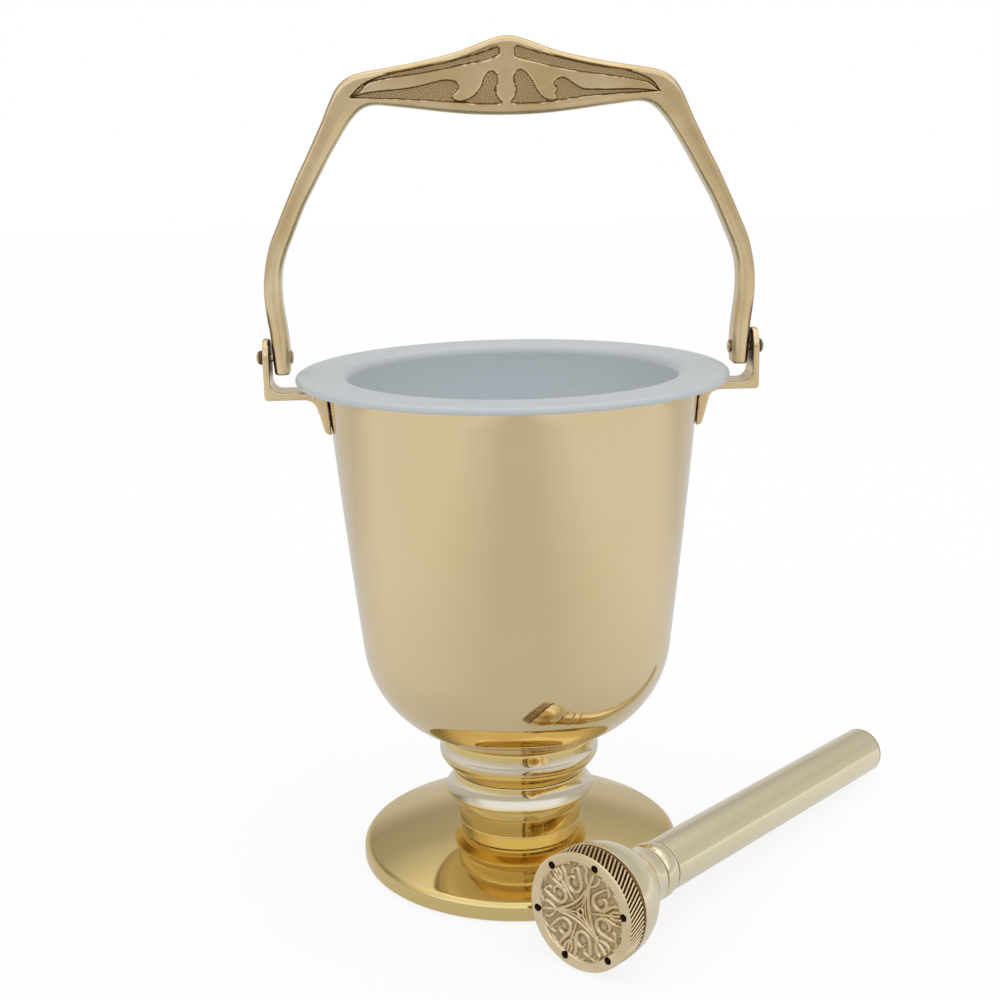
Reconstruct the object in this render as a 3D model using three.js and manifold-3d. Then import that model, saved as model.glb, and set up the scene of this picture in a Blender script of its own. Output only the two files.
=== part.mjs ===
// Holy water pot with a swinging bail, a lift-out liner and the sprinkler that goes with it.
// Millimetres, +Z up. The origin is the centre of the foot's underside, +X runs along the
// bail's pivots and -Y is the front, where the sprinkler lies.

import * as THREE from 'three';
import { mergeVertices } from 'three/addons/utils/BufferGeometryUtils.js';
import Module from 'manifold-3d';

const wasm = await Module();
wasm.setup();

// Fits
const jointGap = 0.3;            // between pieces that are screwed or stacked together
const runningGap = 0.3;          // round a pin that turns, on the radius
const floorGap = 0.03;           // under the sprinkler's lowest points

// Foot
const footRadius = 51.3;
const footEdgeHeight = 6.6;
const footTopRound = 2.8;        // rounding from the edge into the top
const footBottomRound = 1.8;
const footRise = 6.0;            // rise of the domed top from its edge to its neck
const footNeckRadius = 20.1;
const footNeckHeight = 5.5;      // neck above the foot's top
const footFillet = 0.3;          // between the top and the neck
const footFloor = 4.5;           // metal left under the blind hole

// Stem
const collarHeight = 11.5;       // lower ring
const collarRadius = 24.0;       // at its lip
const collarBandRadius = 20.45;  // plain band under the lower ring
const collarBandHeight = 3.0;
const collarUndercut = 1.3;      // rise from the band to the lip
const collarLipHeight = 0.8;
const collarTopRadius = 21.6;
const collarSweep = 55.0;        // degrees, turn of the hollow slope from the lip to the top
const knopHeight = 13.0;         // upper ring, under the bowl
const knopRadius = 25.78;
const knopFootRadius = 21.6;
const knopTopRadius = 25.3;
const knopWaist = 0.51;          // where the upper ring is widest, as a share of its height
const knopUnderWidth = 2.2;      // rounding under the widest part
const knopUnderHeight = 3.6;
const knopShoulder = 1.7;        // from the widest part up to the plain face
const knopTopRound = 1.4;

// Tie rod that holds foot, rings and bowl together
const rodRadius = 3.0;
const rodStandOut = 2.2;         // thread above the nut
const nutAcrossFlats = 10.0;
const nutHeight = 5.0;
const washerRadius = 12.0;
const washerThickness = 1.6;

// Bowl
const bowlRimRadius = 57.2;
const bowlHeight = 114.0;        // from its seat on the stem to its rim
const bowlTaper = 0.098;         // loss of radius for each mm down the side
const bowlBow = 0.3;             // swell of the side between rim and corner
const bowlCornerRadius = 34.0;
const bowlUnderAngle = 19.0;     // degrees, slope of the underside
const bowlSeatRadius = 25.0;
const bowlWall = 1.2;

// Liner
const linerFlangeOverhang = 9.1; // flange's edge beyond the bowl's rim
const linerFlangeThickness = 2.2;
const linerMouthInset = 6.6;     // from the bowl's rim in to the flange's inner edge
const linerWall = 1.6;
const linerTaper = 0.075;
const linerCornerRadius = 24.0;
const linerBottomGap = 4.3;      // under its bottom, over the end of the tie rod
const linerMouthRound = 3.0;     // rounding from flange into the side

// Brackets that carry the bail
const bracketWidth = 11.6;
const earThickness = 2.0;
const earReach = 18.4;           // outer face of the ear beyond the bowl's rim
const armThickness = 2.3;
const armBelowRim = 2.3;         // from the bowl's rim down to the arm's top
const earCornerRadius = 3.0;     // inside the bend from ear to arm
const armFillet = 4.0;           // under the arm, into the saddle
const saddleHalfWidth = 9.5;
const saddleThickness = 3.7;     // under the arm
const saddleEndThickness = 2.6;  // at its lower edge, before the rounding
const saddleHeight = 12.5;
const saddleRound = 1.6;
const bracketScrewRadius = 1.25;
const bracketScrewHeadRadius = 2.5;
const bracketScrewHeadHeight = 1.4;
const bracketScrewSpacing = 11.0;
const bracketScrewDepth = 1.8;   // of the shank in the saddle

// Bail
const pivotAboveRim = 7.9;
const pinRadius = 1.3;
const pinOuterHeadRadius = 2.15;
const pinOuterHeadHeight = 2.0;
const pinInnerHeadRadius = 2.1;
const pinInnerHeadHeight = 0.7;
const bailDepth = 9.0;           // front to back
const bailEdgeRound = 1.3;
const bailHeight = 93.1;         // from the pivots to the peak of the grip
const legBelowPivot = 5.0;
const legThickness = 5.1;
const legSetIn = 8.0;            // from the ear's outer face in to the leg's inner face
const legBulge = 1.5;            // how far the leg bows out above its bracket
const legBow = 1.5;              // outward bow of the inner edge higher up
const gripHalfWidth = 46.2;      // half the grip's width at its shoulders
const gripShoulderDrop = 10.3;   // from the peak to the shoulders
const gripPeakWidth = 17.5;      // from the middle to where the peak's slope eases
const gripPeakDrop = 5.1;        // fall of the top edge over that width
const gripMiddleHeight = 22.6;   // height of the grip at its middle
const gripBellyRise = 3.3;       // from the middle of the lower edge to its ends

// Sprinkler, measured along its axis from the pierced face
const sprinklerLength = 173.4;
const headRadius = 17.5;
const faceRadius = 16.3;         // flat of the face, inside its rounded edge
const capLength = 6.9;
const capFaceThickness = 1.6;
const capEdgeRound = 0.8;
const capWall = 1.0;
const capChamber = 1.8;          // open space behind the face, over the holes
const holeRadius = 1.15;
const centreHoleRadius = 0.6;
const holeCount = 6;
const holeCircleRadius = 15.13;
const holePhase = 48.04;         // degrees, first hole
const shoulderEnd = 24.6;        // end of the bell-shaped shoulder
const shoulderNeckRadius = 10.5;
const neckEnd = 32.9;
const neckRadius = 8.6;
const neckGroove = 0.5;
const collarEnd = 39.3;          // end of the ferrule's collar
const ferruleRadius = 8.5;
const tubeRadius = 8.06;
const tubeWall = 1.0;
const spigotLength = 8.0;
const stubRadius = 5.2;
const stubLength = 9.0;
const waterwayRadius = 3.2;
const spongeLength = 17.0;
const sealThickness = 0.5;
const headBoreRadius = 13.2;
const endPlugThickness = 1.4;
const endPlugRound = 0.8;

// Where the sprinkler lies beside the pot
const sprinklerFaceX = 12.01;
const sprinklerFaceY = -78.96;
const sprinklerHeading = 47.94;  // degrees from +X towards +Y, from the face to the tube's end

// Smoothness
const potSides = 48;
const stemSides = 40;
const headSides = 36;
const tubeSides = 28;
const pinSides = 14;

// Finishes
const palebrass = new THREE.MeshStandardMaterial({ color: 0xc9b78e, roughness: 0.16, metalness: 1 });
const goldbrass = new THREE.MeshStandardMaterial({ color: 0xc9ab6a, roughness: 0.12, metalness: 1 });
const castbrass = new THREE.MeshStandardMaterial({ color: 0xb4935f, roughness: 0.28, metalness: 1 });
const linerWhite = new THREE.MeshStandardMaterial({ color: 0xc9cfd4, roughness: 0.35, metalness: 0 });
const foamYellow = new THREE.MeshStandardMaterial({ color: 0xc9a54f, roughness: 0.95, metalness: 0 });
const sealTan = new THREE.MeshStandardMaterial({ color: 0x805c30, roughness: 0.8, metalness: 0 });

// Heights of the stack, from the foot up
const footTop = footEdgeHeight + footRise;
const collarBase = footTop + footNeckHeight + jointGap;
const knopBase = collarBase + collarHeight + jointGap;
const bowlBase = knopBase + knopHeight + jointGap;
const bowlRim = bowlBase + bowlHeight;
const flangeBase = bowlRim + jointGap;
const flangeTop = flangeBase + linerFlangeThickness;
const pivotZ = bowlRim + pivotAboveRim;
const rodHole = rodRadius + jointGap;
const washerZ = bowlBase + bowlWall + jointGap;
const nutZ = washerZ + washerThickness + jointGap;
const rodTop = nutZ + nutHeight + rodStandOut;

// Liner, brackets and bail follow the bowl
const linerFlangeRadius = bowlRimRadius + linerFlangeOverhang;
const linerMouthRadius = bowlRimRadius - linerMouthInset;
const linerDepth = flangeTop - rodTop - linerBottomGap - linerWall;
const earOuterX = bowlRimRadius + earReach;
const legInnerX = earOuterX - legSetIn;

const radians = (degrees) => THREE.MathUtils.degToRad(degrees);

// Corner points of an elliptical or round arc, with both ends
function oval(cx, cy, halfWidth, halfHeight, from, to, steps) {
  const points = [];
  for (let i = 0; i <= steps; i++) {
    const angle = radians(from + (to - from) * i / steps);
    points.push([cx + halfWidth * Math.cos(angle), cy + halfHeight * Math.sin(angle)]);
  }
  return points;
}

const arc = (cx, cy, radius, from, to, steps) => oval(cx, cy, radius, radius, from, to, steps);

// A geometry with shared corners, no flat triangles, and its faces pointing out
function closed(geometry) {
  const bare = geometry.index ? geometry.toNonIndexed() : geometry.clone();
  for (const name of Object.keys(bare.attributes)) {
    if (name !== 'position') bare.deleteAttribute(name);
  }
  const merged = mergeVertices(bare, 1e-4);
  const old = merged.index.array;
  const kept = [];
  for (let i = 0; i < old.length; i += 3) {
    const [a, b, c] = [old[i], old[i + 1], old[i + 2]];
    if (a !== b && b !== c && c !== a) kept.push(a, b, c);
  }
  merged.setIndex(kept);
  if (volumeOf(merged) < 0) {
    for (let i = 0; i < kept.length; i += 3) [kept[i], kept[i + 1]] = [kept[i + 1], kept[i]];
    merged.setIndex(kept);
  }
  return merged;
}

function volumeOf(geometry) {
  const at = geometry.attributes.position;
  const order = geometry.index.array;
  const [a, b, c] = [new THREE.Vector3(), new THREE.Vector3(), new THREE.Vector3()];
  let sum = 0;
  for (let i = 0; i < order.length; i += 3) {
    a.fromBufferAttribute(at, order[i]);
    b.fromBufferAttribute(at, order[i + 1]);
    c.fromBufferAttribute(at, order[i + 2]);
    sum += a.dot(b.cross(c)) / 6;
  }
  return sum;
}

// Joining and cutting
function toSolid(geometry) {
  const mesh = closed(geometry);
  return new wasm.Manifold(new wasm.Mesh({
    numProp: 3,
    vertProperties: new Float32Array(mesh.attributes.position.array),
    triVerts: new Uint32Array(mesh.index.array),
  }));
}

function toGeometry(solid) {
  const mesh = solid.getMesh();
  const geometry = new THREE.BufferGeometry();
  geometry.setAttribute('position', new THREE.BufferAttribute(new Float32Array(mesh.vertProperties), 3));
  geometry.setIndex(Array.from(mesh.triVerts));
  return geometry;
}

function cut(body, ...tools) {
  let solid = toSolid(body);
  for (const tool of tools) solid = solid.subtract(toSolid(tool));
  return toGeometry(solid);
}

function join(body, ...others) {
  let solid = toSolid(body);
  for (const other of others) solid = solid.add(toSolid(other));
  return toGeometry(solid);
}

const common = (a, b) => toGeometry(toSolid(a).intersect(toSolid(b)));

// A turned piece: [radius, height] points round the Z axis
function turned(profile, sides) {
  const points = profile.map(([radius, height]) => new THREE.Vector2(radius, height));
  return closed(new THREE.LatheGeometry(points, sides).rotateX(Math.PI / 2));
}

// A turned ring, whose profile closes on itself
const turnedRing = (profile, sides) => turned([...profile, profile[0]], sides);

// A plain round bar or hole tool, standing on height z
function bar(radius, length, z, sides) {
  return new THREE.CylinderGeometry(radius, radius, length, sides).rotateX(Math.PI / 2)
    .translate(0, 0, z + length / 2);
}

function named(name, geometry, material, z = 0) {
  const mesh = new THREE.Mesh(geometry, material);
  mesh.name = name;
  mesh.position.z = z;
  return mesh;
}

// Foot: a disc with a rounded edge and a domed top, and a neck with a blind hole for the tie rod
function makeFoot() {
  const outer = [
    ...arc(footRadius - footBottomRound, footBottomRound, footBottomRound, -90, 0, 3),
    ...arc(footRadius - footTopRound, footEdgeHeight - footTopRound, footTopRound, 0, 72, 4),
  ];
  const inner = footNeckRadius + footFillet;
  const [domeEdge, domeLow] = outer[outer.length - 1];
  const dome = [0.8, 0.6, 0.4, 0.2].map((share) => [
    inner + (domeEdge - inner) * share, footTop - (footTop - domeLow) * share * (1 + share) / 2,
  ]);
  const fillet = arc(inner, footTop + footFillet, footFillet, 270, 180, 2);
  return turned([
    [0, 0], ...outer, ...dome, ...fillet,
    [footNeckRadius, footTop + footNeckHeight],
    [rodHole, footTop + footNeckHeight],
    [rodHole, footFloor],
    [0, footFloor],
  ], potSides);
}

// Lower ring of the stem: a plain band, a lip over it and a hollow slope from the lip to the top
function makeStemCollar() {
  const lipBase = collarBandHeight + collarUndercut;
  const lipTop = lipBase + collarLipHeight;
  const reach = (collarRadius - collarTopRadius) / (1 - Math.cos(radians(collarSweep)));
  const drop = (collarHeight - lipTop) / Math.sin(radians(collarSweep));
  return turnedRing([
    [rodHole, 0], [collarBandRadius, 0], [collarBandRadius, collarBandHeight],
    [collarRadius - 0.35, lipBase], [collarRadius, lipBase + 0.3],
    ...oval(collarTopRadius + reach, collarHeight, reach, drop, 180 + collarSweep, 180, 6),
    [rodHole, collarHeight],
  ], stemSides);
}

// Upper ring of the stem: leans out from its foot to a full round, then an upright face
function makeStemKnop() {
  const waist = knopHeight * knopWaist;
  const under = knopRadius - knopUnderWidth;
  return turnedRing([
    [rodHole, 0], [knopFootRadius, 0],
    [knopFootRadius + (under - knopFootRadius) * 0.4, (waist - knopUnderHeight) * 0.46],
    ...oval(under, waist, knopUnderWidth, knopUnderHeight, -60, 0, 4),
    ...oval(knopTopRadius, waist, knopRadius - knopTopRadius, knopShoulder, 30, 90, 2),
    ...arc(knopTopRadius - knopTopRound, knopHeight - knopTopRound, knopTopRound, 0, 90, 3),
    [rodHole, knopHeight],
  ], stemSides);
}

// The bowl's side, corner and underside, from the rim down to the seat, moved in by inset
function bowlProfile(inset, steps) {
  const wallLean = Math.atan(bowlTaper);
  const under = radians(bowlUnderAngle);
  const corner = bowlCornerRadius - inset;
  const rim = [bowlRimRadius - inset / Math.cos(wallLean), bowlHeight];
  const seat = [bowlSeatRadius, inset / Math.cos(under)];
  // centre of the corner, one corner radius inside both the side and the underside
  const sideNormal = [-Math.cos(wallLean), Math.sin(wallLean)];
  const underNormal = [-Math.sin(under), Math.cos(under)];
  const det = sideNormal[0] * underNormal[1] - sideNormal[1] * underNormal[0];
  const sideAt = sideNormal[0] * rim[0] + sideNormal[1] * rim[1] + corner;
  const underAt = underNormal[0] * seat[0] + underNormal[1] * seat[1] + corner;
  const centre = [
    (sideAt * underNormal[1] - underAt * sideNormal[1]) / det,
    (sideNormal[0] * underAt - underNormal[0] * sideAt) / det,
  ];
  const cornerTop = centre[1] - corner * Math.sin(wallLean);
  const side = [];
  for (let i = 0; i < steps; i++) {
    const share = i / steps;
    const height = bowlHeight + (cornerTop - bowlHeight) * share;
    const radius = rim[0] - bowlTaper * (bowlHeight - height) + bowlBow * Math.sin(Math.PI * share);
    side.push([radius, height]);
  }
  const round = arc(centre[0], centre[1], corner,
    -THREE.MathUtils.radToDeg(wallLean), bowlUnderAngle - 90, steps + 2);
  return [...side, ...round, seat];
}

// Spun bowl: one wall all over, with a hole for the tie rod and four for the bracket screws
function makeBowl(screwHoles) {
  const outer = bowlProfile(0, 5);
  const inner = bowlProfile(bowlWall, 4);
  const floor = bowlWall;
  inner[inner.length - 1] = [bowlSeatRadius - 0.4, floor];
  const shell = turnedRing([
    ...outer.reverse(), ...inner, [rodHole, floor], [rodHole, 0],
  ], potSides);
  return cut(shell, ...screwHoles);
}

// Liner: a bucket hanging in the bowl by a wide flange
function makeLiner() {
  const nose = linerFlangeThickness / 2;
  const top = linerFlangeThickness;
  const floor = top - linerDepth;
  const sideTop = top - linerMouthRound;
  const wallRadiusAt = (height) => linerMouthRadius - linerTaper * (sideTop - height);
  const bucket = (extra) => {
    const corner = linerCornerRadius + extra;
    const bottom = floor - extra;
    const cornerTop = bottom + corner;
    return arc(wallRadiusAt(cornerTop) + extra - corner, cornerTop, corner, 0, -90, 6);
  };
  const mouth = arc(linerMouthRadius + linerMouthRound, sideTop, linerMouthRound, 180, 90, 4);
  const outerSide = [[linerMouthRadius + linerWall, 0]];
  return turned([
    [0, floor], ...bucket(0).reverse(), ...mouth,
    ...arc(linerFlangeRadius - nose, nose, nose, 90, -90, 4),
    ...outerSide, ...bucket(linerWall), [0, floor - linerWall],
  ], potSides);
}

// One bracket, made for the +X side: ear, arm and the saddle that hugs the bowl
const armTop = bowlRim - armBelowRim;
const armBase = armTop - armThickness;
const bracketScrewZ = armTop - saddleHeight * 0.55;

function makeBracket(bowlTool, screwHoles) {
  const half = bracketWidth / 2;
  const inside = earOuterX - earThickness;
  const section = new THREE.Shape();
  const bowlRadiusAt = (z) => bowlRimRadius - bowlTaper * (bowlRim - z);
  const armEnd = bowlRadiusAt(armBase - armFillet) + 0.88 * saddleThickness;
  section.moveTo(bowlRimRadius - 3, armBase - armFillet);
  section.lineTo(armEnd, armBase - armFillet);
  section.absarc(armEnd + armFillet, armBase - armFillet, armFillet, Math.PI, Math.PI / 2, true);
  section.lineTo(earOuterX - 1, armBase);
  section.absarc(earOuterX - 1, armBase + 1, 1, -Math.PI / 2, 0, false);
  section.lineTo(earOuterX, pivotZ + half);
  section.lineTo(inside, pivotZ + half);
  section.lineTo(inside, armTop + earCornerRadius);
  section.absarc(inside - earCornerRadius, armTop + earCornerRadius, earCornerRadius, 0, -Math.PI / 2, true);
  section.lineTo(bowlRimRadius - 3, armTop);
  section.closePath();
  const strap = new THREE.ExtrudeGeometry(section, { depth: bracketWidth, bevelEnabled: false, curveSegments: 5 })
    .rotateX(Math.PI / 2).translate(0, half, 0);

  // rounded top of the ear, centred on the pivot
  const sideView = new THREE.Shape();
  sideView.moveTo(-half, armBase - armFillet - 1);
  sideView.lineTo(half, armBase - armFillet - 1);
  sideView.lineTo(half, pivotZ);
  sideView.absarc(0, pivotZ, half, 0, Math.PI, false);
  sideView.closePath();
  const earMask = new THREE.ExtrudeGeometry(sideView, { depth: earOuterX, bevelEnabled: false, curveSegments: 12 })
    .rotateX(Math.PI / 2).rotateZ(Math.PI / 2);

  // the saddle is a stretch of a turned band, so that it follows the bowl
  const saddleTop = armTop;
  const saddleBase = saddleTop - saddleHeight;
  const band = turnedRing([
    [bowlRadiusAt(saddleBase) - 4, saddleBase],
    ...arc(bowlRadiusAt(saddleBase) + saddleEndThickness - saddleRound, saddleBase + saddleRound,
      saddleRound, -90, -10, 4),
    [bowlRadiusAt(saddleTop) + saddleThickness, armBase],
    [bowlRadiusAt(saddleTop) + saddleThickness, saddleTop],
    [bowlRadiusAt(saddleTop) - 4, saddleTop],
  ], potSides * 2);
  const slab = new THREE.BoxGeometry(earOuterX, 2 * saddleHalfWidth, saddleHeight * 3)
    .translate(earOuterX / 2 + bowlRimRadius * 0.35, 0, saddleTop);
  const pinHole = bar(pinRadius + jointGap, 20, earOuterX - 10, pinSides)
    .rotateY(Math.PI / 2).translate(0, 0, pivotZ);
  return cut(join(common(strap, earMask), common(band, slab)), bowlTool, pinHole, ...screwHoles);
}

// Places of the bracket screws, on both sides of the pot
const screwPlaces = [];
for (const side of [1, -1]) {
  for (const along of [-1, 1]) screwPlaces.push([side, along * bracketScrewSpacing / 2]);
}
const wallInsideAtScrew = (() => {
  const radius = bowlRimRadius - bowlTaper * (bowlRim - bracketScrewZ + bracketScrewHeadRadius) - bowlWall;
  const edge = bracketScrewSpacing / 2 + bracketScrewHeadRadius;
  return Math.sqrt(radius * radius - edge * edge) - jointGap;
})();
const screwShankLength = (() => {
  const wall = bowlRimRadius - bowlTaper * (bowlRim - bracketScrewZ);
  const across = Math.sqrt(wall * wall - (bracketScrewSpacing / 2) ** 2);
  return across - wallInsideAtScrew + bracketScrewDepth;
})();

function screwHole(y, sign, reach) {
  return bar(bracketScrewRadius + jointGap, reach, 0, pinSides).rotateY(Math.PI / 2)
    .translate(wallInsideAtScrew - 2, 0, 0).rotateZ(sign > 0 ? 0 : Math.PI).translate(0, y, 0);
}

function makeBracketScrew() {
  return turned([
    [0, 0], [bracketScrewHeadRadius * 0.8, 0], [bracketScrewHeadRadius, bracketScrewHeadHeight * 0.4],
    [bracketScrewHeadRadius, bracketScrewHeadHeight], [bracketScrewRadius, bracketScrewHeadHeight],
    [bracketScrewRadius, bracketScrewHeadHeight + screwShankLength],
    [0, bracketScrewHeadHeight + screwShankLength],
  ], pinSides).rotateY(Math.PI / 2);
}

// Pivot pin: a rivet with a domed head outside the ear and a low head inside the leg
const pinSeatInside = legInnerX - jointGap;
const pinSeatOutside = earOuterX + jointGap;

function makePivotPin() {
  const inner = oval(0, pinSeatInside, pinInnerHeadRadius, pinInnerHeadHeight, -90, 0, 3);
  const outer = oval(0, pinSeatOutside, pinOuterHeadRadius, pinOuterHeadHeight, 0, 90, 3);
  return turned([...inner, [pinRadius, pinSeatInside], [pinRadius, pinSeatOutside], ...outer], pinSides)
    .rotateY(Math.PI / 2);
}

// Bail: its outline stands in the XZ plane with the pivots at height 0
function makeBail() {
  const peak = bailHeight;
  const shoulder = peak - gripShoulderDrop;
  const belly = peak - gripMiddleHeight;
  const grow = bailEdgeRound;
  const outline = new THREE.Shape();
  const side = (sign) => (x, z) => [sign * x, z];
  const legOuterX = legInnerX + legThickness;
  const bulgeOuter = legOuterX + legBulge - grow;
  const bulgeInner = legInnerX + legBulge + grow;
  const legInnerLow = bulgeInner - 4.2;
  const legInnerTop = gripHalfWidth + 1.3 + grow;
  const right = side(1);
  const left = side(-1);
  const outerEdge = (to, back) => {
    const steps = [
      ['line', to(3, peak - 0.2 - grow)],
      ['curve', to(9, peak - gripPeakDrop * 0.5 - grow), to(gripPeakWidth, peak - gripPeakDrop - grow)],
      ['line', to(gripHalfWidth - 3.5, shoulder + 0.4 - grow)],
      ['curve', to(gripHalfWidth + 0.8, shoulder - 0.5 - grow), to(gripHalfWidth + 4.6 - grow, shoulder - 5.6)],
      ['line', to(bulgeOuter - 3.8, 38)],
      ['curve', to(bulgeOuter + 0.4, 29), to(bulgeOuter, 20)],
      ['curve', to(bulgeOuter, 14), to(legOuterX + 0.4 - grow, 9.5)],
      ['line', to(legOuterX - 0.4 - grow, grow + 0.8 - legBelowPivot)],
      ['line', to(legOuterX - 0.6 - grow, grow - legBelowPivot)],
    ];
    return back ? steps.reverse() : steps;
  };
  const innerEdge = (to) => [
    ['line', to(legInnerX + 0.5 + grow, grow - legBelowPivot)],
    ['line', to(legInnerX + grow, grow + 0.8 - legBelowPivot)],
    ['line', to(legInnerX + grow, 3)],
    ['curve', to(bulgeInner - 0.1, 13), to(bulgeInner, 20)],
    ['curve', to(bulgeInner + 0.2, 28), to(legInnerLow, 37)],
    ['curve', to((legInnerLow + legInnerTop) / 2 + legBow, 36 + belly / 4), to(legInnerTop, belly - 2.4)],
    ['curve', to(gripHalfWidth - 1.2 + grow, belly + 2.6), to(gripHalfWidth - 6.5, belly + gripBellyRise + grow)],
    ['curve', to(20, belly + 0.9 + grow), to(0, belly + grow)],
  ];
  const follow = (steps) => {
    for (const [kind, a, b] of steps) {
      if (kind === 'line') outline.lineTo(...a);
      else outline.quadraticCurveTo(...a, ...b);
    }
  };
  const reversed = (steps, start) => {
    // the same edge walked the other way: each end point becomes the previous start
    const stops = [start, ...steps.map((step) => step[step.length - 1])];
    const back = [];
    for (let i = steps.length - 1; i >= 0; i--) {
      back.push(steps[i][0] === 'line' ? ['line', stops[i]] : ['curve', steps[i][1], stops[i]]);
    }
    return back;
  };
  const top = [0, peak - grow];
  outline.moveTo(...top);
  follow(outerEdge(right));
  follow(innerEdge(right));
  const bottomLeft = left(legOuterX - 0.6 - grow, grow - legBelowPivot);
  follow(reversed(innerEdge(left), bottomLeft));
  follow(reversed(outerEdge(left), top));
  const flat = new THREE.ExtrudeGeometry(outline, {
    depth: bailDepth - 2 * bailEdgeRound, steps: 1, curveSegments: 5,
    bevelEnabled: true, bevelSize: bailEdgeRound, bevelThickness: bailEdgeRound, bevelSegments: 2,
  }).rotateX(Math.PI / 2).translate(0, bailDepth / 2 - bailEdgeRound, 0);
  const pinHole = bar(pinRadius + runningGap, 4 * legInnerX, -2 * legInnerX, pinSides).rotateY(Math.PI / 2);
  return cut(flat, pinHole);
}

// Sprinkler pieces, along +Z from the face
const sealStart = capLength + jointGap;
const headStart = capFaceThickness + capChamber;
const shoulderStart = sealStart + sealThickness + jointGap;
const capInnerRadius = headRadius - capWall;
const spigotRadius = capInnerRadius - jointGap;

function makeSprinklerCap() {
  const cup = turned([
    [0, 0], [faceRadius, 0], [headRadius - capEdgeRound * 0.4, capEdgeRound * 0.6],
    [headRadius, capEdgeRound * 1.4], [headRadius, capLength - 0.4],
    [headRadius - 0.4, capLength], [capInnerRadius, capLength],
    [capInnerRadius, capFaceThickness], [0, capFaceThickness],
  ], headSides);
  const holes = [bar(centreHoleRadius, 3 * capFaceThickness, -capFaceThickness, 12)];
  for (let i = 0; i < holeCount; i++) {
    const angle = radians(holePhase + 360 * i / holeCount);
    holes.push(bar(holeRadius, 3 * capFaceThickness, -capFaceThickness, 12).translate(
      holeCircleRadius * Math.cos(angle), holeCircleRadius * Math.sin(angle), 0));
  }
  return cut(cup, ...holes);
}

// Flat ring between the cap's edge and the head's shoulder
function makeSeal() {
  const outer = headRadius - 0.2;
  return turnedRing([
    [capInnerRadius, 0], [outer, 0], [outer, sealThickness], [capInnerRadius, sealThickness],
  ], headSides);
}

// Bell-shaped head: spigot for the cap, shoulder, neck and the stub that enters the ferrule
function makeSprinklerHead() {
  const bell = [];
  for (let i = 0; i <= 8; i++) {
    const share = i / 8;
    // full at the cap, drawn in ever faster towards the neck
    const radius = headRadius - (headRadius - shoulderNeckRadius) * share * share;
    bell.push([radius, shoulderStart + 0.4 + (shoulderEnd - shoulderStart - 0.4) * share]);
  }
  const cavityEnd = spongeStart + spongeLength + jointGap;
  return turnedRing([
    [headBoreRadius, headStart], [spigotRadius, headStart], [spigotRadius, shoulderStart],
    [headRadius - 0.3, shoulderStart], ...bell,
    [shoulderNeckRadius - neckGroove, shoulderEnd + 0.4],
    [shoulderNeckRadius - 0.1, shoulderEnd + 1.0],
    [shoulderNeckRadius - 0.5, shoulderEnd + 3.0],
    [neckRadius + 0.4, neckEnd - 2.4], [neckRadius, neckEnd - 0.6], [neckRadius - 0.6, neckEnd],
    [stubRadius, neckEnd], [stubRadius, neckEnd + stubLength],
    [waterwayRadius, neckEnd + stubLength], [waterwayRadius, cavityEnd + 2],
    [headBoreRadius * 0.5, cavityEnd], [headBoreRadius, headStart + boreStraight],
  ], headSides);
}

// Sponge that fills the head, from the back of the face to the end of the bore
const spongeStart = capFaceThickness + jointGap;
const boreStraight = 7.6;

function makeSponge() {
  const radius = headBoreRadius - jointGap;
  const straight = headStart + boreStraight - jointGap - spongeStart;
  return turned([
    [0, 0], [radius, 0], [radius, straight],
    [headBoreRadius * 0.5 - jointGap, spongeLength], [0, spongeLength],
  ], tubeSides);
}

const ferruleStart = neckEnd + jointGap;
const tubeStart = collarEnd + jointGap;
const plugStart = sprinklerLength - endPlugThickness;
const tubeBore = tubeRadius - tubeWall;

// Ferrule: a rounded collar at the joint, bored for the head's stub, with a spigot in the tube
function makeFerrule() {
  const length = collarEnd - ferruleStart;
  return turnedRing([
    [stubRadius + jointGap, 0], [tubeRadius - 0.3, 0], [tubeRadius + 0.2, 0.5],
    [ferruleRadius, length * 0.4], [ferruleRadius - 0.1, length * 0.75], [tubeRadius, length],
    [tubeBore - jointGap, length], [tubeBore - jointGap, length + spigotLength],
    [stubRadius + jointGap, length + spigotLength],
  ], tubeSides);
}

function makeTube() {
  const length = plugStart - jointGap - tubeStart;
  return turnedRing([
    [tubeBore, 0], [tubeRadius, 0], [tubeRadius, length], [tubeBore, length],
  ], headSides);
}

function makeEndPlug() {
  return turned([
    [0, -spigotLength], [tubeBore - jointGap, -spigotLength], [tubeBore - jointGap, 0],
    [tubeRadius, 0], [tubeRadius, endPlugThickness - endPlugRound],
    [tubeRadius - endPlugRound * 0.3, endPlugThickness - endPlugRound * 0.3],
    [tubeRadius - endPlugRound, endPlugThickness], [0, endPlugThickness],
  ], headSides);
}

// Pot
const pot = new THREE.Group();

pot.add(named('foot', makeFoot(), goldbrass));
pot.add(named('stem_collar', makeStemCollar(), goldbrass, collarBase));
pot.add(named('stem_knop', makeStemKnop(), goldbrass, knopBase));

const bowlHoles = screwPlaces.map(([sign, y]) => screwHole(y, sign, 12)
  .translate(0, 0, bracketScrewZ - bowlBase));
pot.add(named('bowl', makeBowl(bowlHoles), palebrass, bowlBase));

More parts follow.
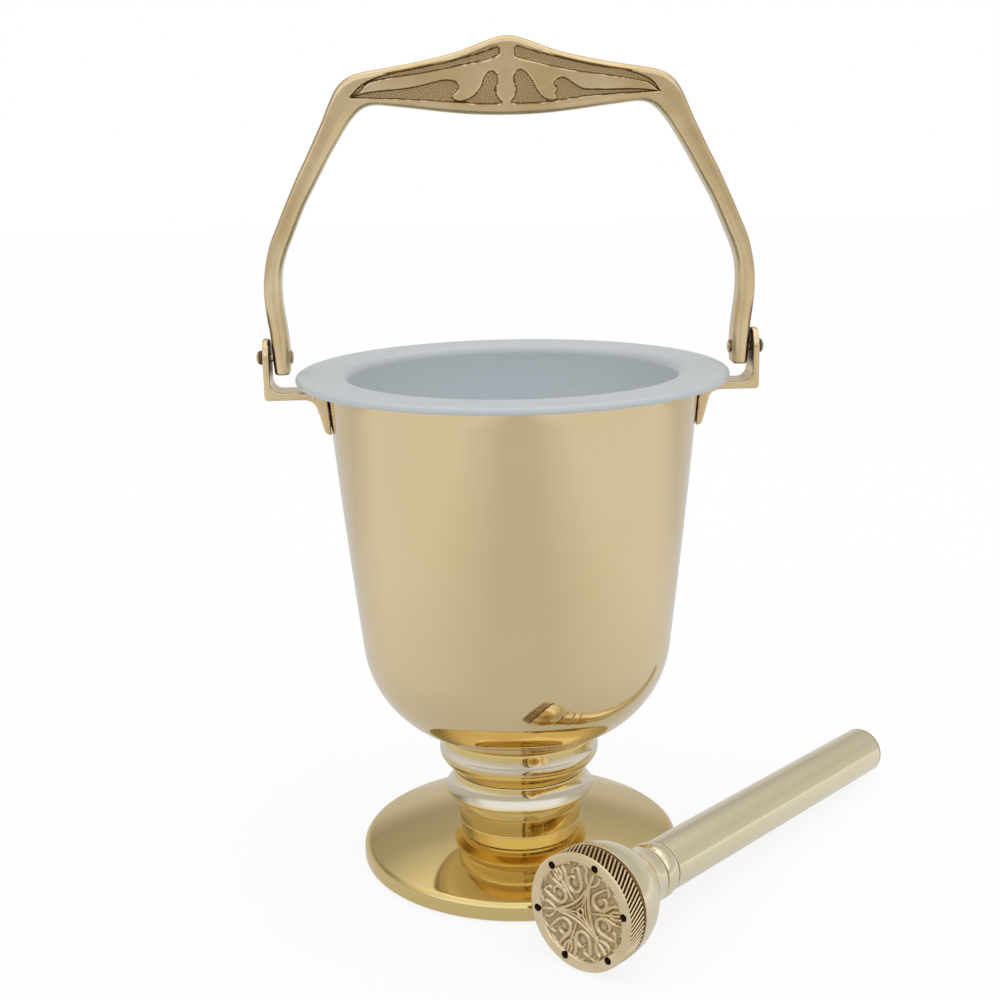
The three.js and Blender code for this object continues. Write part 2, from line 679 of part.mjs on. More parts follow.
pot.add(named('bowl_washer', turnedRing([
  [rodHole, 0], [washerRadius, 0], [washerRadius, washerThickness], [rodHole, washerThickness],
], tubeSides), palebrass, washerZ));
const nutBlank = new THREE.CylinderGeometry(
  nutAcrossFlats / Math.sqrt(3), nutAcrossFlats / Math.sqrt(3), nutHeight, 6)
  .rotateX(Math.PI / 2).translate(0, 0, nutHeight / 2);
pot.add(named('tie_nut', cut(nutBlank, bar(rodHole, nutHeight * 2, -nutHeight / 2, pinSides * 2)), palebrass, nutZ));
const rodBase = footFloor + jointGap;
pot.add(named('tie_rod', closed(bar(rodRadius, rodTop - rodBase, 0, pinSides * 2)), palebrass, rodBase));

pot.add(named('liner', makeLiner(), linerWhite, flangeBase));

// the bowl's outside with the joint gap, for cutting the saddles
const bowlTool = turned([
  [0, bowlHeight + 2], [bowlRimRadius + jointGap, bowlHeight + 2],
  ...bowlProfile(0, 5).map(([radius, height]) => [radius + jointGap, height]),
  [0, 0],
], potSides * 2).translate(0, 0, bowlBase);
const saddleHoleReach = 2 + screwShankLength + jointGap;
const saddleHoles = screwPlaces.filter(([sign]) => sign > 0)
  .map(([sign, y]) => screwHole(y, sign, saddleHoleReach).translate(0, 0, bracketScrewZ));
const bracket = makeBracket(bowlTool, saddleHoles);
const pivotPin = makePivotPin();
for (const [side, turn] of [['right', 0], ['left', Math.PI]]) {
  const mount = new THREE.Group();
  mount.rotation.z = turn;
  mount.add(named(`bracket_${side}`, bracket, castbrass));
  mount.add(named(`pivot_pin_${side}`, pivotPin, castbrass, pivotZ));
  for (const [index, y] of [-1, 1].entries()) {
    const screw = named(`bracket_screw_${side}_${index + 1}`, makeBracketScrew(), palebrass, bracketScrewZ);
    screw.position.x = wallInsideAtScrew - bracketScrewHeadHeight;
    screw.position.y = y * bracketScrewSpacing / 2;
    mount.add(screw);
  }
  pot.add(mount);
}

pot.add(named('bail', makeBail(), castbrass, pivotZ));

// Sprinkler, lying on the same surface: its head and its tube's end both touch it
const contactStart = shoulderStart + 1;
const contactEnd = sprinklerLength - endPlugRound;
const droop = Math.asin((headRadius - tubeRadius) / (contactEnd - contactStart));
const heading = radians(sprinklerHeading);
const axisDirection = new THREE.Vector3(
  Math.cos(heading) * Math.cos(droop), Math.sin(heading) * Math.cos(droop), -Math.sin(droop));
const acrossDirection = new THREE.Vector3().crossVectors(axisDirection, new THREE.Vector3(0, 0, 1)).normalize();
const upDirection = new THREE.Vector3().crossVectors(acrossDirection, axisDirection);

const sprinkler = new THREE.Group();
sprinkler.quaternion.setFromRotationMatrix(
  new THREE.Matrix4().makeBasis(acrossDirection.clone().negate(), upDirection, axisDirection));
sprinkler.add(named('sprinkler_cap', makeSprinklerCap(), castbrass));
sprinkler.add(named('cap_seal', makeSeal(), sealTan, sealStart));
sprinkler.add(named('sponge', makeSponge(), foamYellow, spongeStart));
sprinkler.add(named('sprinkler_head', makeSprinklerHead(), palebrass));
sprinkler.add(named('handle_ferrule', makeFerrule(), palebrass, ferruleStart));
sprinkler.add(named('handle_tube', makeTube(), palebrass, tubeStart));
sprinkler.add(named('handle_end_plug', makeEndPlug(), palebrass, plugStart));

sprinkler.updateMatrixWorld(true);
const lowest = new THREE.Box3().setFromObject(sprinkler, true).min.z;
sprinkler.position.set(sprinklerFaceX, sprinklerFaceY, floorGap - lowest);

const model = new THREE.Group();
model.add(pot, sprinkler);
model.updateMatrixWorld(true);

export default model;
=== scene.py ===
import math

import bmesh
import bpy
import numpy as np
from mathutils import Matrix, Vector


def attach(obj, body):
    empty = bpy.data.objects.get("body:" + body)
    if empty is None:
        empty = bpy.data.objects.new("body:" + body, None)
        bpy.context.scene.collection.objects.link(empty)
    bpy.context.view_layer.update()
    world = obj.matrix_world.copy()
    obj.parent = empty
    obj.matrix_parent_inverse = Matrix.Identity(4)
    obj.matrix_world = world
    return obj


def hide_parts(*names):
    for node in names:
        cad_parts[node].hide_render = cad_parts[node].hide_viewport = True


bl_info = {
    "name": "Holy water pot",
    "version": (1, 0, 0),
    "blender": (4, 5, 0),
    "location": "View3D > Sidebar > Holy water pot",
    "description": "Builds the brass pot, its liner and bail, and the sprinkler beside it",
    "category": "Object",
}

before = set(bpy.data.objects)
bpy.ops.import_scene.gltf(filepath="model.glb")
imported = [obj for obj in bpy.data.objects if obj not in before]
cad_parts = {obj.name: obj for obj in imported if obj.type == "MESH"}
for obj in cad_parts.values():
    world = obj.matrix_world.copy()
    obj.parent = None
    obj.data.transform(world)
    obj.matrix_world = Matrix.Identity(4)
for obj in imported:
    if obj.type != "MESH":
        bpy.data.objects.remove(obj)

MM = 0.001

# Sizes in millimetres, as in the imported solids
FOOT_RADIUS, FOOT_EDGE, FOOT_TOP = 51.3, 6.6, 12.6
FOOT_EDGE_ROUND, FOOT_BASE_ROUND = 2.8, 1.8
FOOT_NECK, FOOT_NECK_TOP, FOOT_FILLET = 20.1, 18.1, 0.3
COLLAR_BASE, COLLAR_TOP = 18.4, 29.9
KNOP_BASE, KNOP_TOP = 30.2, 43.2
ROD_HOLE, ROD_HOLE_FLOOR = 3.3, 4.5
BOWL_BASE, BOWL_HEIGHT, BOWL_RIM, BOWL_WALL = 43.5, 114.0, 57.2, 1.2
BOWL_TAPER, BOWL_SWELL, BOWL_CORNER, BOWL_SEAT = 0.098, 0.3, 34.0, 25.0
FLANGE_BASE, FLANGE_TOP, FLANGE_RADIUS, FLANGE_FILLET = 157.8, 160.0, 66.3, 0.6
LINER_MOUTH, LINER_WALL, LINER_TAPER, LINER_FLOOR = 50.6, 1.6, 0.075, 60.0
LINER_CORNER, LINER_MOUTH_ROUND = 24.0, 3.0
PIVOT_Z, PIN_RADIUS, PIN_HOLE = 165.4, 1.3, 1.6
RIVET_INSIDE, RIVET_OUTSIDE, RIVET_HEAD = 67.3, 75.9, 2.15
BAIL_HALF_DEPTH, LEG_END_ROUND, GRIP_START = 4.5, 0.8, 60.0
HEAD_RADIUS, CAP_LENGTH, CAP_FACE, CAP_BORE, RIM_VALLEY = 17.5, 6.9, 1.6, 16.5, 16.88
HOLE_RADIUS, CENTRE_HOLE, HOLE_CIRCLE = 1.15, 0.6, 15.13
TUBE_RADIUS, TUBE_BORE, TUBE_START, TUBE_END, SPIGOT_RADIUS = 8.06, 7.06, 39.6, 172.3, 6.76
SPRINKLER_LENGTH = 173.4

# Angles in degrees: the bowl's underside over the level, the first hole of the cap's ring,
# and the angle over which two faces of a piece keep a sharp edge between them
BOWL_UNDERSIDE, HOLE_PHASE, SHARP_ANGLE = 19.0, 11.96, 38.0

# Where the sprinkler lies: the middle of its face, and the way its tube points
SPRINKLER_FACE = Vector((12.01, -78.96, 18.036))
SPRINKLER_HEADING, SPRINKLER_DROOP = math.radians(47.94), math.radians(3.3079)

# Where the camera stands, and the way it looks
CAMERA_SPOT = Vector((-25.25, -475.4, 235.9))
CAMERA_HEADING, CAMERA_PITCH, CAMERA_ROLL = math.radians(3.04), math.radians(13.86), math.radians(1.0)
CAMERA_SHIFT = -0.0146


# Settings

def colour_setting(name, text, value):
    return bpy.props.FloatVectorProperty(
        name=name, description=text, default=(*value, 1.0), size=4, subtype="COLOR", min=0.0, max=1.0)


def length_setting(name, text, value):
    return bpy.props.FloatProperty(
        name=name, description=text, default=value, min=0.0, max=0.1, unit="LENGTH", precision=5)


def strength_setting(name, text, value, high=5.0):
    return bpy.props.FloatProperty(name=name, description=text, default=value, min=0.0, max=high)


def count_setting(name, text, value, low, high):
    return bpy.props.IntProperty(name=name, description=text, default=value, min=low, max=high)


class PotFinishSettings(bpy.types.PropertyGroup):
    """Colours of the pot and the sprinkler."""
    brass: colour_setting("Bowl brass", "Pale lacquered brass of the bowl", (0.735, 0.59, 0.345))
    gold: colour_setting("Stem brass", "Deeper polished brass of the foot and the stem", (0.76, 0.585, 0.25))
    # painted highlight: a paler, cooler tint that stands for the bright light reflected in two bands of the
    # stem
    painted_highlight: colour_setting("Pale brass", "Painted highlight of the stem's two bright bands", (0.72, 0.66, 0.56))
    cast: colour_setting("Cast brass", "Brass of the bail and its brackets", (0.73, 0.57, 0.335))
    handle: colour_setting("Sprinkler brass", "Pale brass of the sprinkler's head and handle",
                           (0.88, 0.78, 0.545))
    ornament: colour_setting("Ornament brass", "Brass of the sprinkler's cap", (0.86, 0.71, 0.46))
    # patina that stays in the hollows, also used for painted shade along the cap's strokes, on the walls of the
    # grip's hollows, under the bail's legs and in the sprinkler's darker bands
    patina_and_shade: colour_setting("Patina", "Dark colour that stays in the hollows of the ornament",
                           (0.30, 0.20, 0.09))
    # painted shade: a near-black that stands for the shade between the cap's ribs, in its holes and cup, in the
    # gaps at the brackets, rivets and bail, and between the sprinkler's head and ferrule
    groove: colour_setting("Groove patina", "Black-brown between the ribs and in the cap's holes",
                           (0.030, 0.018, 0.009))
    liner: colour_setting("Liner", "Bluish white of the liner", (0.70, 0.735, 0.745))
    seal: colour_setting("Seal", "Tan of the cap's rubber seal", (0.216, 0.108, 0.030))
    sponge: colour_setting("Sponge", "Yellow of the sponge inside the head", (0.58, 0.38, 0.08))


class PotShapeSettings(bpy.types.PropertyGroup):
    """Detail of the shapes."""
    turned_sides: count_setting("Turned sides", "Faces round a turned piece of the pot", 160, 48, 256)
    handle_sides: count_setting("Handle sides", "Faces round the sprinkler's turned pieces", 96, 32, 192)
    recess_depth: length_setting("Recess depth", "Depth of the hollows in the grip", 0.0010)
    pebble_radius: length_setting("Pebble radius", "Radius of a grain in the grip's hollows", 0.00036)
    pebble_gap: length_setting("Pebble spacing", "Least gap between grains in the grip's hollows", 0.00072)
    relief_depth: length_setting("Relief depth", "Depth of the ground round the cap's ornament", 0.00085)
    grain_radius: length_setting("Grain radius", "Radius of a grain on the cap's ground", 0.00027)
    grain_gap: length_setting("Grain spacing", "Least gap between grains on the cap's ground", 0.00060)
    rib_count: count_setting("Ribs", "Ribs round the cap's rim", 78, 12, 160)
    rib_radius: length_setting("Rib radius", "Half the width of a rib on the cap's rim", 0.00034)
    rib_slant: bpy.props.FloatProperty(
        name="Rib slant", description="Turn of a rib from the face to the cap's edge",
        default=math.radians(10.8), subtype="ANGLE")


class PotStudioSettings(bpy.types.PropertyGroup):
    """Light, floor and camera."""
    walls: strength_setting("Wall light", "Strength of the light tent's walls", 0.62)
    roof: strength_setting("Roof light", "Strength of the light tent's roof", 1.0)
    panel: strength_setting("Panel light", "Strength of the cool panel over the camera", 1.3)
    front: strength_setting("Floor in front", "How bright the brass sees the floor before it", 0.66, 2.0)
    flanks: strength_setting("Floor beside", "How much brighter the floor is on both sides", 0.27, 2.0)
    floor: colour_setting("Floor", "Colour of the floor as the brass sees it", (0.80, 0.795, 0.78))
    lens: bpy.props.FloatProperty(
        name="Lens", description="Focal length of the camera", default=56.2, min=20.0, max=200.0,
        unit="CAMERA")


# Shader maths

def add_node(tree, kind, values, settings):
    """A new node: its settings first, then the values or links of its sockets."""
    made = tree.nodes.new(kind)
    for key, value in settings.items():
        setattr(made, key, value)
    for key, value in (values or {}).items():
        if isinstance(value, bpy.types.NodeSocket):
            tree.links.new(value, made.inputs[key])
        else:
            made.inputs[key].default_value = value
    return made


class Val:
    """The value on one output socket; the usual operators add Math nodes."""

    def __init__(self, finish, socket):
        self.finish, self.socket = finish, socket

    def math(self, operation, *values, clamp=False):
        return self.finish.node(
            "ShaderNodeMath", dict(enumerate(values)), operation=operation, use_clamp=clamp)

    def __add__(self, other):
        return self.math("ADD", self, other)

    def __sub__(self, other):
        return self.math("SUBTRACT", self, other)

    def __rsub__(self, other):
        return self.math("SUBTRACT", other, self)

    def __mul__(self, other):
        return self.math("MULTIPLY", self, other)

    __radd__, __rmul__ = __add__, __mul__

    def held(self):
        """The value kept between 0 and 1."""
        return self.math("ADD", self, 0.0, clamp=True)


class Finish:
    """A node material in the making, or the world's nodes."""

    def __init__(self, name, world=False):
        self.holder = bpy.data.worlds.new(name) if world else bpy.data.materials.new(name)
        self.holder.use_nodes = True
        self.tree = self.holder.node_tree
        self.tree.nodes.clear()

    def node(self, kind, values=None, out=0, **settings):
        """Adds a node; gives the value on one of its outputs, if it has any."""
        plain = {key: getattr(value, "socket", value) for key, value in (values or {}).items()}
        made = add_node(self.tree, kind, plain, settings)
        return Val(self, made.outputs[out]) if len(made.outputs) else made

    def place(self):
        return self.node("ShaderNodeTexCoord", out="Object")

    def vector(self, operation, *values, out=0):
        return self.node("ShaderNodeVectorMath", dict(enumerate(values)), operation=operation, out=out)

    def combine(self, x, y, z):
        return self.node("ShaderNodeCombineXYZ", {0: x, 1: y, 2: z})

    def part(self, vector, index):
        """One of a vector's three numbers."""
        return self.node("ShaderNodeSeparateXYZ", {0: vector}, out=index)

    def noise(self, vector, scale, detail=2.0, roughness=0.5):
        return self.node("ShaderNodeTexNoise", {"Vector": vector, "Scale": scale, "Detail": detail,
                                                "Roughness": roughness}, out="Fac")

    def blend(self, factor, first, second):
        """One colour over another."""
        return self.node("ShaderNodeMix", {0: factor, 6: first, 7: second}, out=2, data_type="RGBA")

    def attribute(self, name):
        return self.node("ShaderNodeAttribute", out="Fac", attribute_name=name)

    def ray(self, kind):
        """One where the light path is of this kind, and zero elsewhere."""
        return self.node("ShaderNodeLightPath", out=f"Is {kind} Ray")

    def bump(self, height, distance):
        return self.node("ShaderNodeBump", {"Height": height, "Strength": 1.0, "Distance": distance},
                         out="Normal")

    def surface(self, values):
        """Ends the material in one Principled shader."""
        shader = self.node("ShaderNodeBsdfPrincipled", values)
        self.node("ShaderNodeOutputMaterial", {"Surface": shader})
        return self.holder


def tint(colour, scale):
    """A colour made lighter or darker, as four numbers."""
    return (*(min(1.0, c * s) for c, s in zip(colour[:3], scale)), 1.0)


# Finishes

def along_and_across(finish, axis_point, axis):
    """The shader's place, its height along a turned piece's axis and its distance from it."""
    place = finish.place()
    if axis is None:
        across = finish.vector("LENGTH", finish.vector("MULTIPLY", place, (1.0, 1.0, 0.0)), out="Value")
        return place, finish.part(place, 2), across
    place = finish.vector("SUBTRACT", place, tuple(axis_point))
    along = finish.vector("DOT_PRODUCT", place, tuple(axis), out="Value")
    nearest = finish.node("ShaderNodeVectorMath", {0: tuple(axis), "Scale": along}, operation="SCALE")
    across = finish.vector("LENGTH", finish.vector("SUBTRACT", place, nearest), out="Value")
    return place, along, across


def turned_brass(name, colour, roughness, lines, axis_point=None, axis=None, coat=0.35, bands=()):
    """Brass polished on the lathe: fine rings and soft waves round the axis, haze and a few dull specks.

    Each band is a low and a high end along the axis, how strongly it is tinted, and its colour."""
    finish = Finish(name)
    place, along, across = along_and_across(finish, axis_point, axis)
    rings = finish.noise(finish.combine(along * 2600.0, across * 2600.0, 0.0), 1.0, 3.0, 0.6)
    waves = finish.noise(finish.combine(along * 320.0, across * 320.0, 0.0), 1.0, 2.0)
    cloud = finish.noise(place, 24.0, 3.0, 0.55)
    spots = finish.noise(place, 260.0, 2.0, 0.5)
    speck = ((spots - 0.74) * 9.0).held()
    dull, bright = tint(colour, (1.0, 0.985, 0.95)), tint(colour, (1.03, 1.03, 1.04))
    shade = finish.blend((cloud * 1.5 - 0.3).held(), dull, bright)
    for low, high, strength, other in bands:
        # a narrow band is soft right across, a wide one only at its edges
        ease = 2.4 / (high - low) if high - low < 0.0015 else 1600.0
        inside = ((along - low) * ease).held() * ((high - along) * ease).held()
        shade = finish.blend(inside * strength, shade, tuple(other))
    shade = finish.blend(speck * 0.28, shade, tint(colour, (0.62, 0.52, 0.40)))
    rough = cloud * 0.05 + rings * 0.03 + speck * 0.12 + (roughness - 0.04)
    height = rings * 0.5 + waves * 1.1 + spots * 0.2
    return finish.surface({
        "Base Color": shade, "Metallic": 1.0, "Roughness": rough.held(), "Coat Weight": coat,
        "Coat Roughness": 0.05, "Normal": finish.bump(height, lines),
    })


def cast_brass(name, colour, patina_and_shade, groove, roughness, grain):
    """Cast and hand-polished brass: soft waves, file marks and small pits.

    The recess attribute gives patina and painted shade from 0 to 1, and the black of painted shade in deep
    grooves, holes and gaps from 1 to 2."""
    finish = Finish(name)
    place = finish.place()
    recess = finish.attribute("recess")
    waves = finish.noise(place, 150.0, 2.0, 0.5)
    grit = finish.noise(place, 1500.0, 3.0, 0.65)
    cloud = finish.noise(place, 55.0, 3.0, 0.6)
    marks = finish.noise(finish.vector("MULTIPLY", place, (900.0, 1400.0, 130.0)), 1.0, 2.0, 0.6)
    dull, bright = tint(colour, (0.88, 0.82, 0.72)), tint(colour, (1.12, 1.14, 1.18))
    tone = finish.blend((cloud * 2.2 - 0.6).held(), dull, bright)
    pits = ((grit - 0.66) * 7.0).held() * 0.3
    tone = finish.blend(pits, tone, tint(colour, (0.55, 0.46, 0.36)))
    # patina, and painted shade, up to a recess of 1
    dirt_and_shade = recess.held()
    tone = finish.blend((dirt_and_shade * (cloud * 0.5 + 0.62)).held(), tone, tuple(patina_and_shade))
    # painted black shade where the recess goes over 1
    tone = finish.blend((recess - 1.0).held(), tone, tuple(groove))
    rough = cloud * 0.10 + grit * 0.05 + dirt_and_shade * 0.25 + (roughness - 0.075)
    height = waves * 4.0 + grit * (dirt_and_shade * 4.0 + 0.4) + marks * 0.5
    return finish.surface({
        "Base Color": tone, "Metallic": 1.0, "Roughness": rough.held(), "Normal": finish.bump(height, grain),
    })


def moulded_plastic(name, colour):
    """The liner's smooth plastic, with faint flow marks, a soft skin and a brim tinted darker and greyer."""
    finish = Finish(name)
    place = finish.place()
    skin = finish.noise(place, 900.0, 2.0, 0.6)
    flow = finish.noise(finish.vector("MULTIPLY", place, (1.0, 1.0, 0.35)), 30.0, 2.0, 0.5)
    specks = ((finish.noise(place, 420.0, 1.0, 0.4) - 0.78) * 12.0).held()
    shade = finish.blend(flow, tint(colour, (0.97, 0.98, 0.985)), tint(colour, (1.03, 1.02, 1.01)))
    shade = finish.blend(specks * 0.5, shade, tint(colour, (0.6, 0.62, 0.68)))
    # darker and greyer from 14 mm under the flange upwards
    brim = ((finish.part(place, 2) - (FLANGE_BASE - 14.0) * MM) * 65.0).held()
    shade = finish.blend(brim * 0.55, shade, tint(colour, (0.72, 0.725, 0.73)))
    return finish.surface({
        "Base Color": shade, "Roughness": skin * 0.12 + 0.27, "Coat Weight": 0.12, "Coat Roughness": 0.2,
        "Normal": finish.bump(skin * 0.4 + flow * 2.0, 0.000008),
    })


def soft_foam(name, colour):
    """Open foam: paler webs, with painted shade darkening the pores between them."""
    finish = Finish(name)
    cells = finish.node("ShaderNodeTexVoronoi", {"Vector": finish.place(), "Scale": 900.0}, out="Distance")
    # painted shade: the pores darker than the webs
    pores = (1.0 - cells * 1.6).held()
    shade = finish.blend(pores, tint(colour, (1.1, 1.1, 1.1)), tint(colour, (0.35, 0.3, 0.25)))
    return finish.surface({"Base Color": shade, "Roughness": 0.95, "Normal": finish.bump(cells, 0.0003)})


def moulded_rubber(name, colour):
    """Natural rubber with a dusty skin."""
    finish = Finish(name)
    dust = finish.noise(finish.place(), 600.0, 3.0, 0.6)
    shade = finish.blend(dust, tuple(colour), tint(colour, (1.25, 1.25, 1.3)))
    return finish.surface({
        "Base Color": shade, "Roughness": dust * 0.2 + 0.6, "Normal": finish.bump(dust, 0.00002)})


# Mesh helpers

def arc(cx, cy, rx, ry, start, end, steps):
    """Corner points of a round or oval arc, angles in degrees, with both ends."""
    angles = np.radians(np.linspace(start, end, steps + 1))
    return [(cx + rx * math.cos(a), cy + ry * math.sin(a)) for a in angles]


def eased(profile, near=0.25, longest=1.0):
    """Adds points close to both ends of long straight runs, so that smooth shading stays in the roundings."""
    made = [profile[0]]
    for (x0, y0), (x1, y1) in zip(profile, profile[1:]):
        length = math.hypot(x1 - x0, y1 - y0)
        if length > longest:
            for share in (near / length, 1.0 - near / length):
                made.append((x0 + (x1 - x0) * share, y0 + (y1 - y0) * share))
        made.append((x1, y1))
    return made


def smooth_line(points, steps):
    """A smooth curve through points of any dimension, with the given number of steps between two."""
    p = np.array(points, float)
    p = np.vstack([2 * p[0] - p[1], p, 2 * p[-1] - p[-2]])
    rows = []
    for i in range(1, len(p) - 2):
        for t in np.arange(steps) / steps:
            rows.append(0.5 * ((2 * p[i]) + (p[i + 1] - p[i - 1]) * t
                               + (2 * p[i - 1] - 5 * p[i] + 4 * p[i + 1] - p[i + 2]) * t * t
                               + (3 * p[i] - p[i - 1] - 3 * p[i + 1] + p[i + 2]) * t ** 3))
    rows.append(p[-2])
    return np.array(rows)


def travel_along(line):
    """How far along a polyline each of its points lies."""
    return np.concatenate([[0], np.cumsum(np.linalg.norm(np.diff(line, axis=0), axis=1))])


def to_segment(points, start, end):
    """How near a segment each point comes, and at what share of it."""
    way = end - start
    share = np.clip(((points - start) @ way) / max(way @ way, 1e-12), 0, 1)
    return np.linalg.norm(points - start - share[:, None] * way, axis=1), share


def within(points, outline):
    """Distance of each point inside an outline from its edge, below zero outside."""
    nearest = np.full(len(points), 1e9)
    inside = np.zeros(len(points), bool)
    for a, b in zip(outline, np.roll(outline, -1, axis=0)):
        nearest = np.minimum(nearest, to_segment(points, a, b)[0])
        crosses = (a[1] > points[:, 1]) != (b[1] > points[:, 1])
        with np.errstate(divide="ignore", invalid="ignore"):
            at = a[0] + (points[:, 1] - a[1]) * (b[0] - a[0]) / (b[1] - a[1])
        inside ^= crosses & (points[:, 0] < at)
    return np.where(inside, nearest, -nearest)


def to_line(points, line):
    """Distance of each point from a polyline, and how far along it lies as a share."""
    nearest = np.full(len(points), 1e9)
    share = np.zeros(len(points))
    travel = travel_along(line)
    for i, (a, b) in enumerate(zip(line, line[1:])):
        away, part = to_segment(points, a, b)
        closer = away < nearest
        nearest = np.where(closer, away, nearest)
        share = np.where(closer, (travel[i] + part * (travel[i + 1] - travel[i])) / travel[-1], share)
    return nearest, share


def soft_step(x):
    """Rises from 0 to 1 without a kink."""
    x = np.clip(x, 0, 1)
    return x * x * (3 - 2 * x)


def new_object(name, data):
    """A new object in the scene's own collection."""
    made = bpy.data.objects.new(name, data)
    bpy.context.scene.collection.objects.link(made)
    return made


def edited(mesh, work):
    """Changes a mesh by one of the bmesh operations."""
    bm = bmesh.new()
    bm.from_mesh(mesh)
    work(bm)
    bm.to_mesh(mesh)
    bm.free()


def finish_object(name, mesh, material, sharp):
    """A smooth-shaded object with one material, sharp only where its faces meet at a large angle."""
    edited(mesh, lambda bm: bmesh.ops.recalc_face_normals(bm, faces=bm.faces))
    mesh.shade_smooth()
    mesh.set_sharp_from_angle(angle=math.radians(sharp))
    mesh.materials.clear()
    mesh.materials.append(material)
    return new_object(name, mesh)


def make_object(name, verts, faces, material, place=None):
    """A mesh object from millimetre points; place moves it to where it lies."""
    mesh = bpy.data.meshes.new(name)
    mesh.from_pydata([tuple(v) for v in np.asarray(verts, float) * MM], [], faces)
    if place is not None:
        mesh.transform(place)
    return finish_object(name, mesh, material, SHARP_ANGLE)


def faces_between(rows, ring=False):
    """Faces between neighbouring rows of point numbers. A row of one point closes a disc."""
    faces = []
    for a, b in list(zip(rows, rows[1:])) + ([(rows[-1], rows[0])] if ring else []):
        sides = max(len(a), len(b))
        for i in range(sides if sides > 1 else 0):
            j = (i + 1) % sides
            if len(a) == 1:
                faces.append((a[0], b[j], b[i]))
            elif len(b) == 1:
                faces.append((a[i], a[j], b[0]))
            else:
                faces.append((a[i], a[j], b[j], b[i]))
    return faces


def turned(name, profile, sides, material, place=None, ring=False):
    """A lathe-turned piece from [radius, height] points. A ring's profile closes on itself."""
    verts, rows = [], []
    turns = np.linspace(0.0, 2 * math.pi, sides, endpoint=False)
    cosines, sines = np.cos(turns), np.sin(turns)
    for radius, height in profile:
        start = len(verts)
        if radius < 1e-6:
            verts.append((0.0, 0.0, height))
        else:
            verts.extend(zip(radius * cosines, radius * sines, [height] * sides))
        rows.append(range(start, len(verts)))
    return make_object(name, verts, faces_between(rows, ring), material, place)


def evaluated_copy(name, source, material, sharp):
    """The object's mesh with its modifiers worked in, as a plain new object; the source is removed."""
    bpy.context.view_layer.update()
    graph = bpy.context.evaluated_depsgraph_get()
    mesh = bpy.data.meshes.new_from_object(source.evaluated_get(graph), depsgraph=graph)
    mesh.name = name
    bpy.data.objects.remove(source)
    if len(mesh.polygons) == 0:
        raise RuntimeError(name + " came out empty")
    return finish_object(name, mesh, material, sharp)


def points_and_ways(piece):
    """Points of a finished mesh in millimetres, and their normals."""
    spots, ways = np.zeros((2, len(piece.data.vertices) * 3), np.float32)
    piece.data.vertices.foreach_get("co", spots)
    piece.data.vertices.foreach_get("normal", ways)
    return spots.reshape(-1, 3) / MM, ways.reshape(-1, 3)


def get_recess(piece):
    """How much patina and painted shade each point of a piece carries: patina and shade up to 1, black shade up
    to 2.
    """
    marks = np.zeros(len(piece.data.vertices), np.float32)
    piece.data.attributes["recess"].data.foreach_get("value", marks)
    return marks


def set_recess(piece, values):
    """Gives each point its patina and painted shade, by one value or a list of them."""
    marks = np.zeros(len(piece.data.vertices), np.float32)
    marks[:] = values
    layer = piece.data.attributes.get("recess") or piece.data.attributes.new("recess", "FLOAT", "POINT")
    layer.data.foreach_set("value", marks)


def sprinkler_place():
    """From the sprinkler's own frame, along +Z from its face, to where it lies; and the way of its axis."""
    heading = Matrix.Rotation(SPRINKLER_HEADING, 4, "Z")
    lying = Matrix.Rotation(math.pi / 2 + SPRINKLER_DROOP, 4, "Y") @ Matrix.Rotation(math.pi / 2, 4, "Z")
    turn = heading @ lying
    return Matrix.Translation(SPRINKLER_FACE * MM) @ turn, turn.col[2].xyz


# Geometry nodes

class Tree:
    """A geometry node tree in the making, with named inputs that start at the values given."""

    def __init__(self, name, inputs):
        self.tree = bpy.data.node_groups.new(name, "GeometryNodeTree")
        face = self.tree.interface
        face.new_socket("Geometry", in_out="INPUT", socket_type="NodeSocketGeometry")
        self.sockets = {}
        for label, value in inputs.items():
            kind = "NodeSocketInt" if isinstance(value, int) else "NodeSocketFloat"
            self.sockets[label] = face.new_socket(label, in_out="INPUT", socket_type=kind)
            self.sockets[label].default_value = value
        face.new_socket("Geometry", in_out="OUTPUT", socket_type="NodeSocketGeometry")
        self.start = self.tree.nodes.new("NodeGroupInput")

    def given(self, label):
        return self.start.outputs[label]

    def add(self, kind, values=None, out=0, **settings):
        return add_node(self.tree, kind, values, settings).outputs[out]

    def math(self, operation, first, second):
        return self.add("ShaderNodeMath", {0: first, 1: second}, operation=operation)

    def angle_of_each(self):
        """Angle of each of Count points that stand round a full turn."""
        turn = self.math("MULTIPLY", self.add("GeometryNodeInputIndex"), 2 * math.pi)
        return self.math("DIVIDE", turn, self.given("Count"))

    def rotated(self, spot, angle):
        """A place turned round Z."""
        return self.add("ShaderNodeVectorRotate", {"Vector": spot, "Angle": angle}, rotation_type="Z_AXIS")

    def drill(self, sides, radius, length):
        """A round bar along Z, by the names of its inputs."""
        return self.add("GeometryNodeMeshCylinder", {
            "Vertices": sides, "Radius": self.given(radius), "Depth": self.given(length)})

    def close(self, geometry, material):
        """Ends the tree in Realize Instances and Set Material."""
        real = self.add("GeometryNodeRealizeInstances", {0: geometry})
        painted = self.add("GeometryNodeSetMaterial", {"Geometry": real, "Material": material})
        end = self.tree.nodes.new("NodeGroupOutput")
        self.tree.links.new(painted, end.inputs[0])
        return self

    def cut(self, tool, material):
        """Takes the tool's shape away from the piece, and ends the tree."""
        left = self.add("GeometryNodeMeshBoolean", {"Mesh 1": self.given("Geometry"), "Mesh 2": tool},
                        operation="DIFFERENCE", solver="EXACT")
        return self.close(left, material)

    def fit(self, piece, values):
        """Puts the tree on a piece and sets its inputs by their identifiers."""
        modifier = piece.modifiers.new(self.tree.name, "NODES")
        modifier.node_group = self.tree
        for label, value in values.items():
            modifier[self.sockets[label].identifier] = value


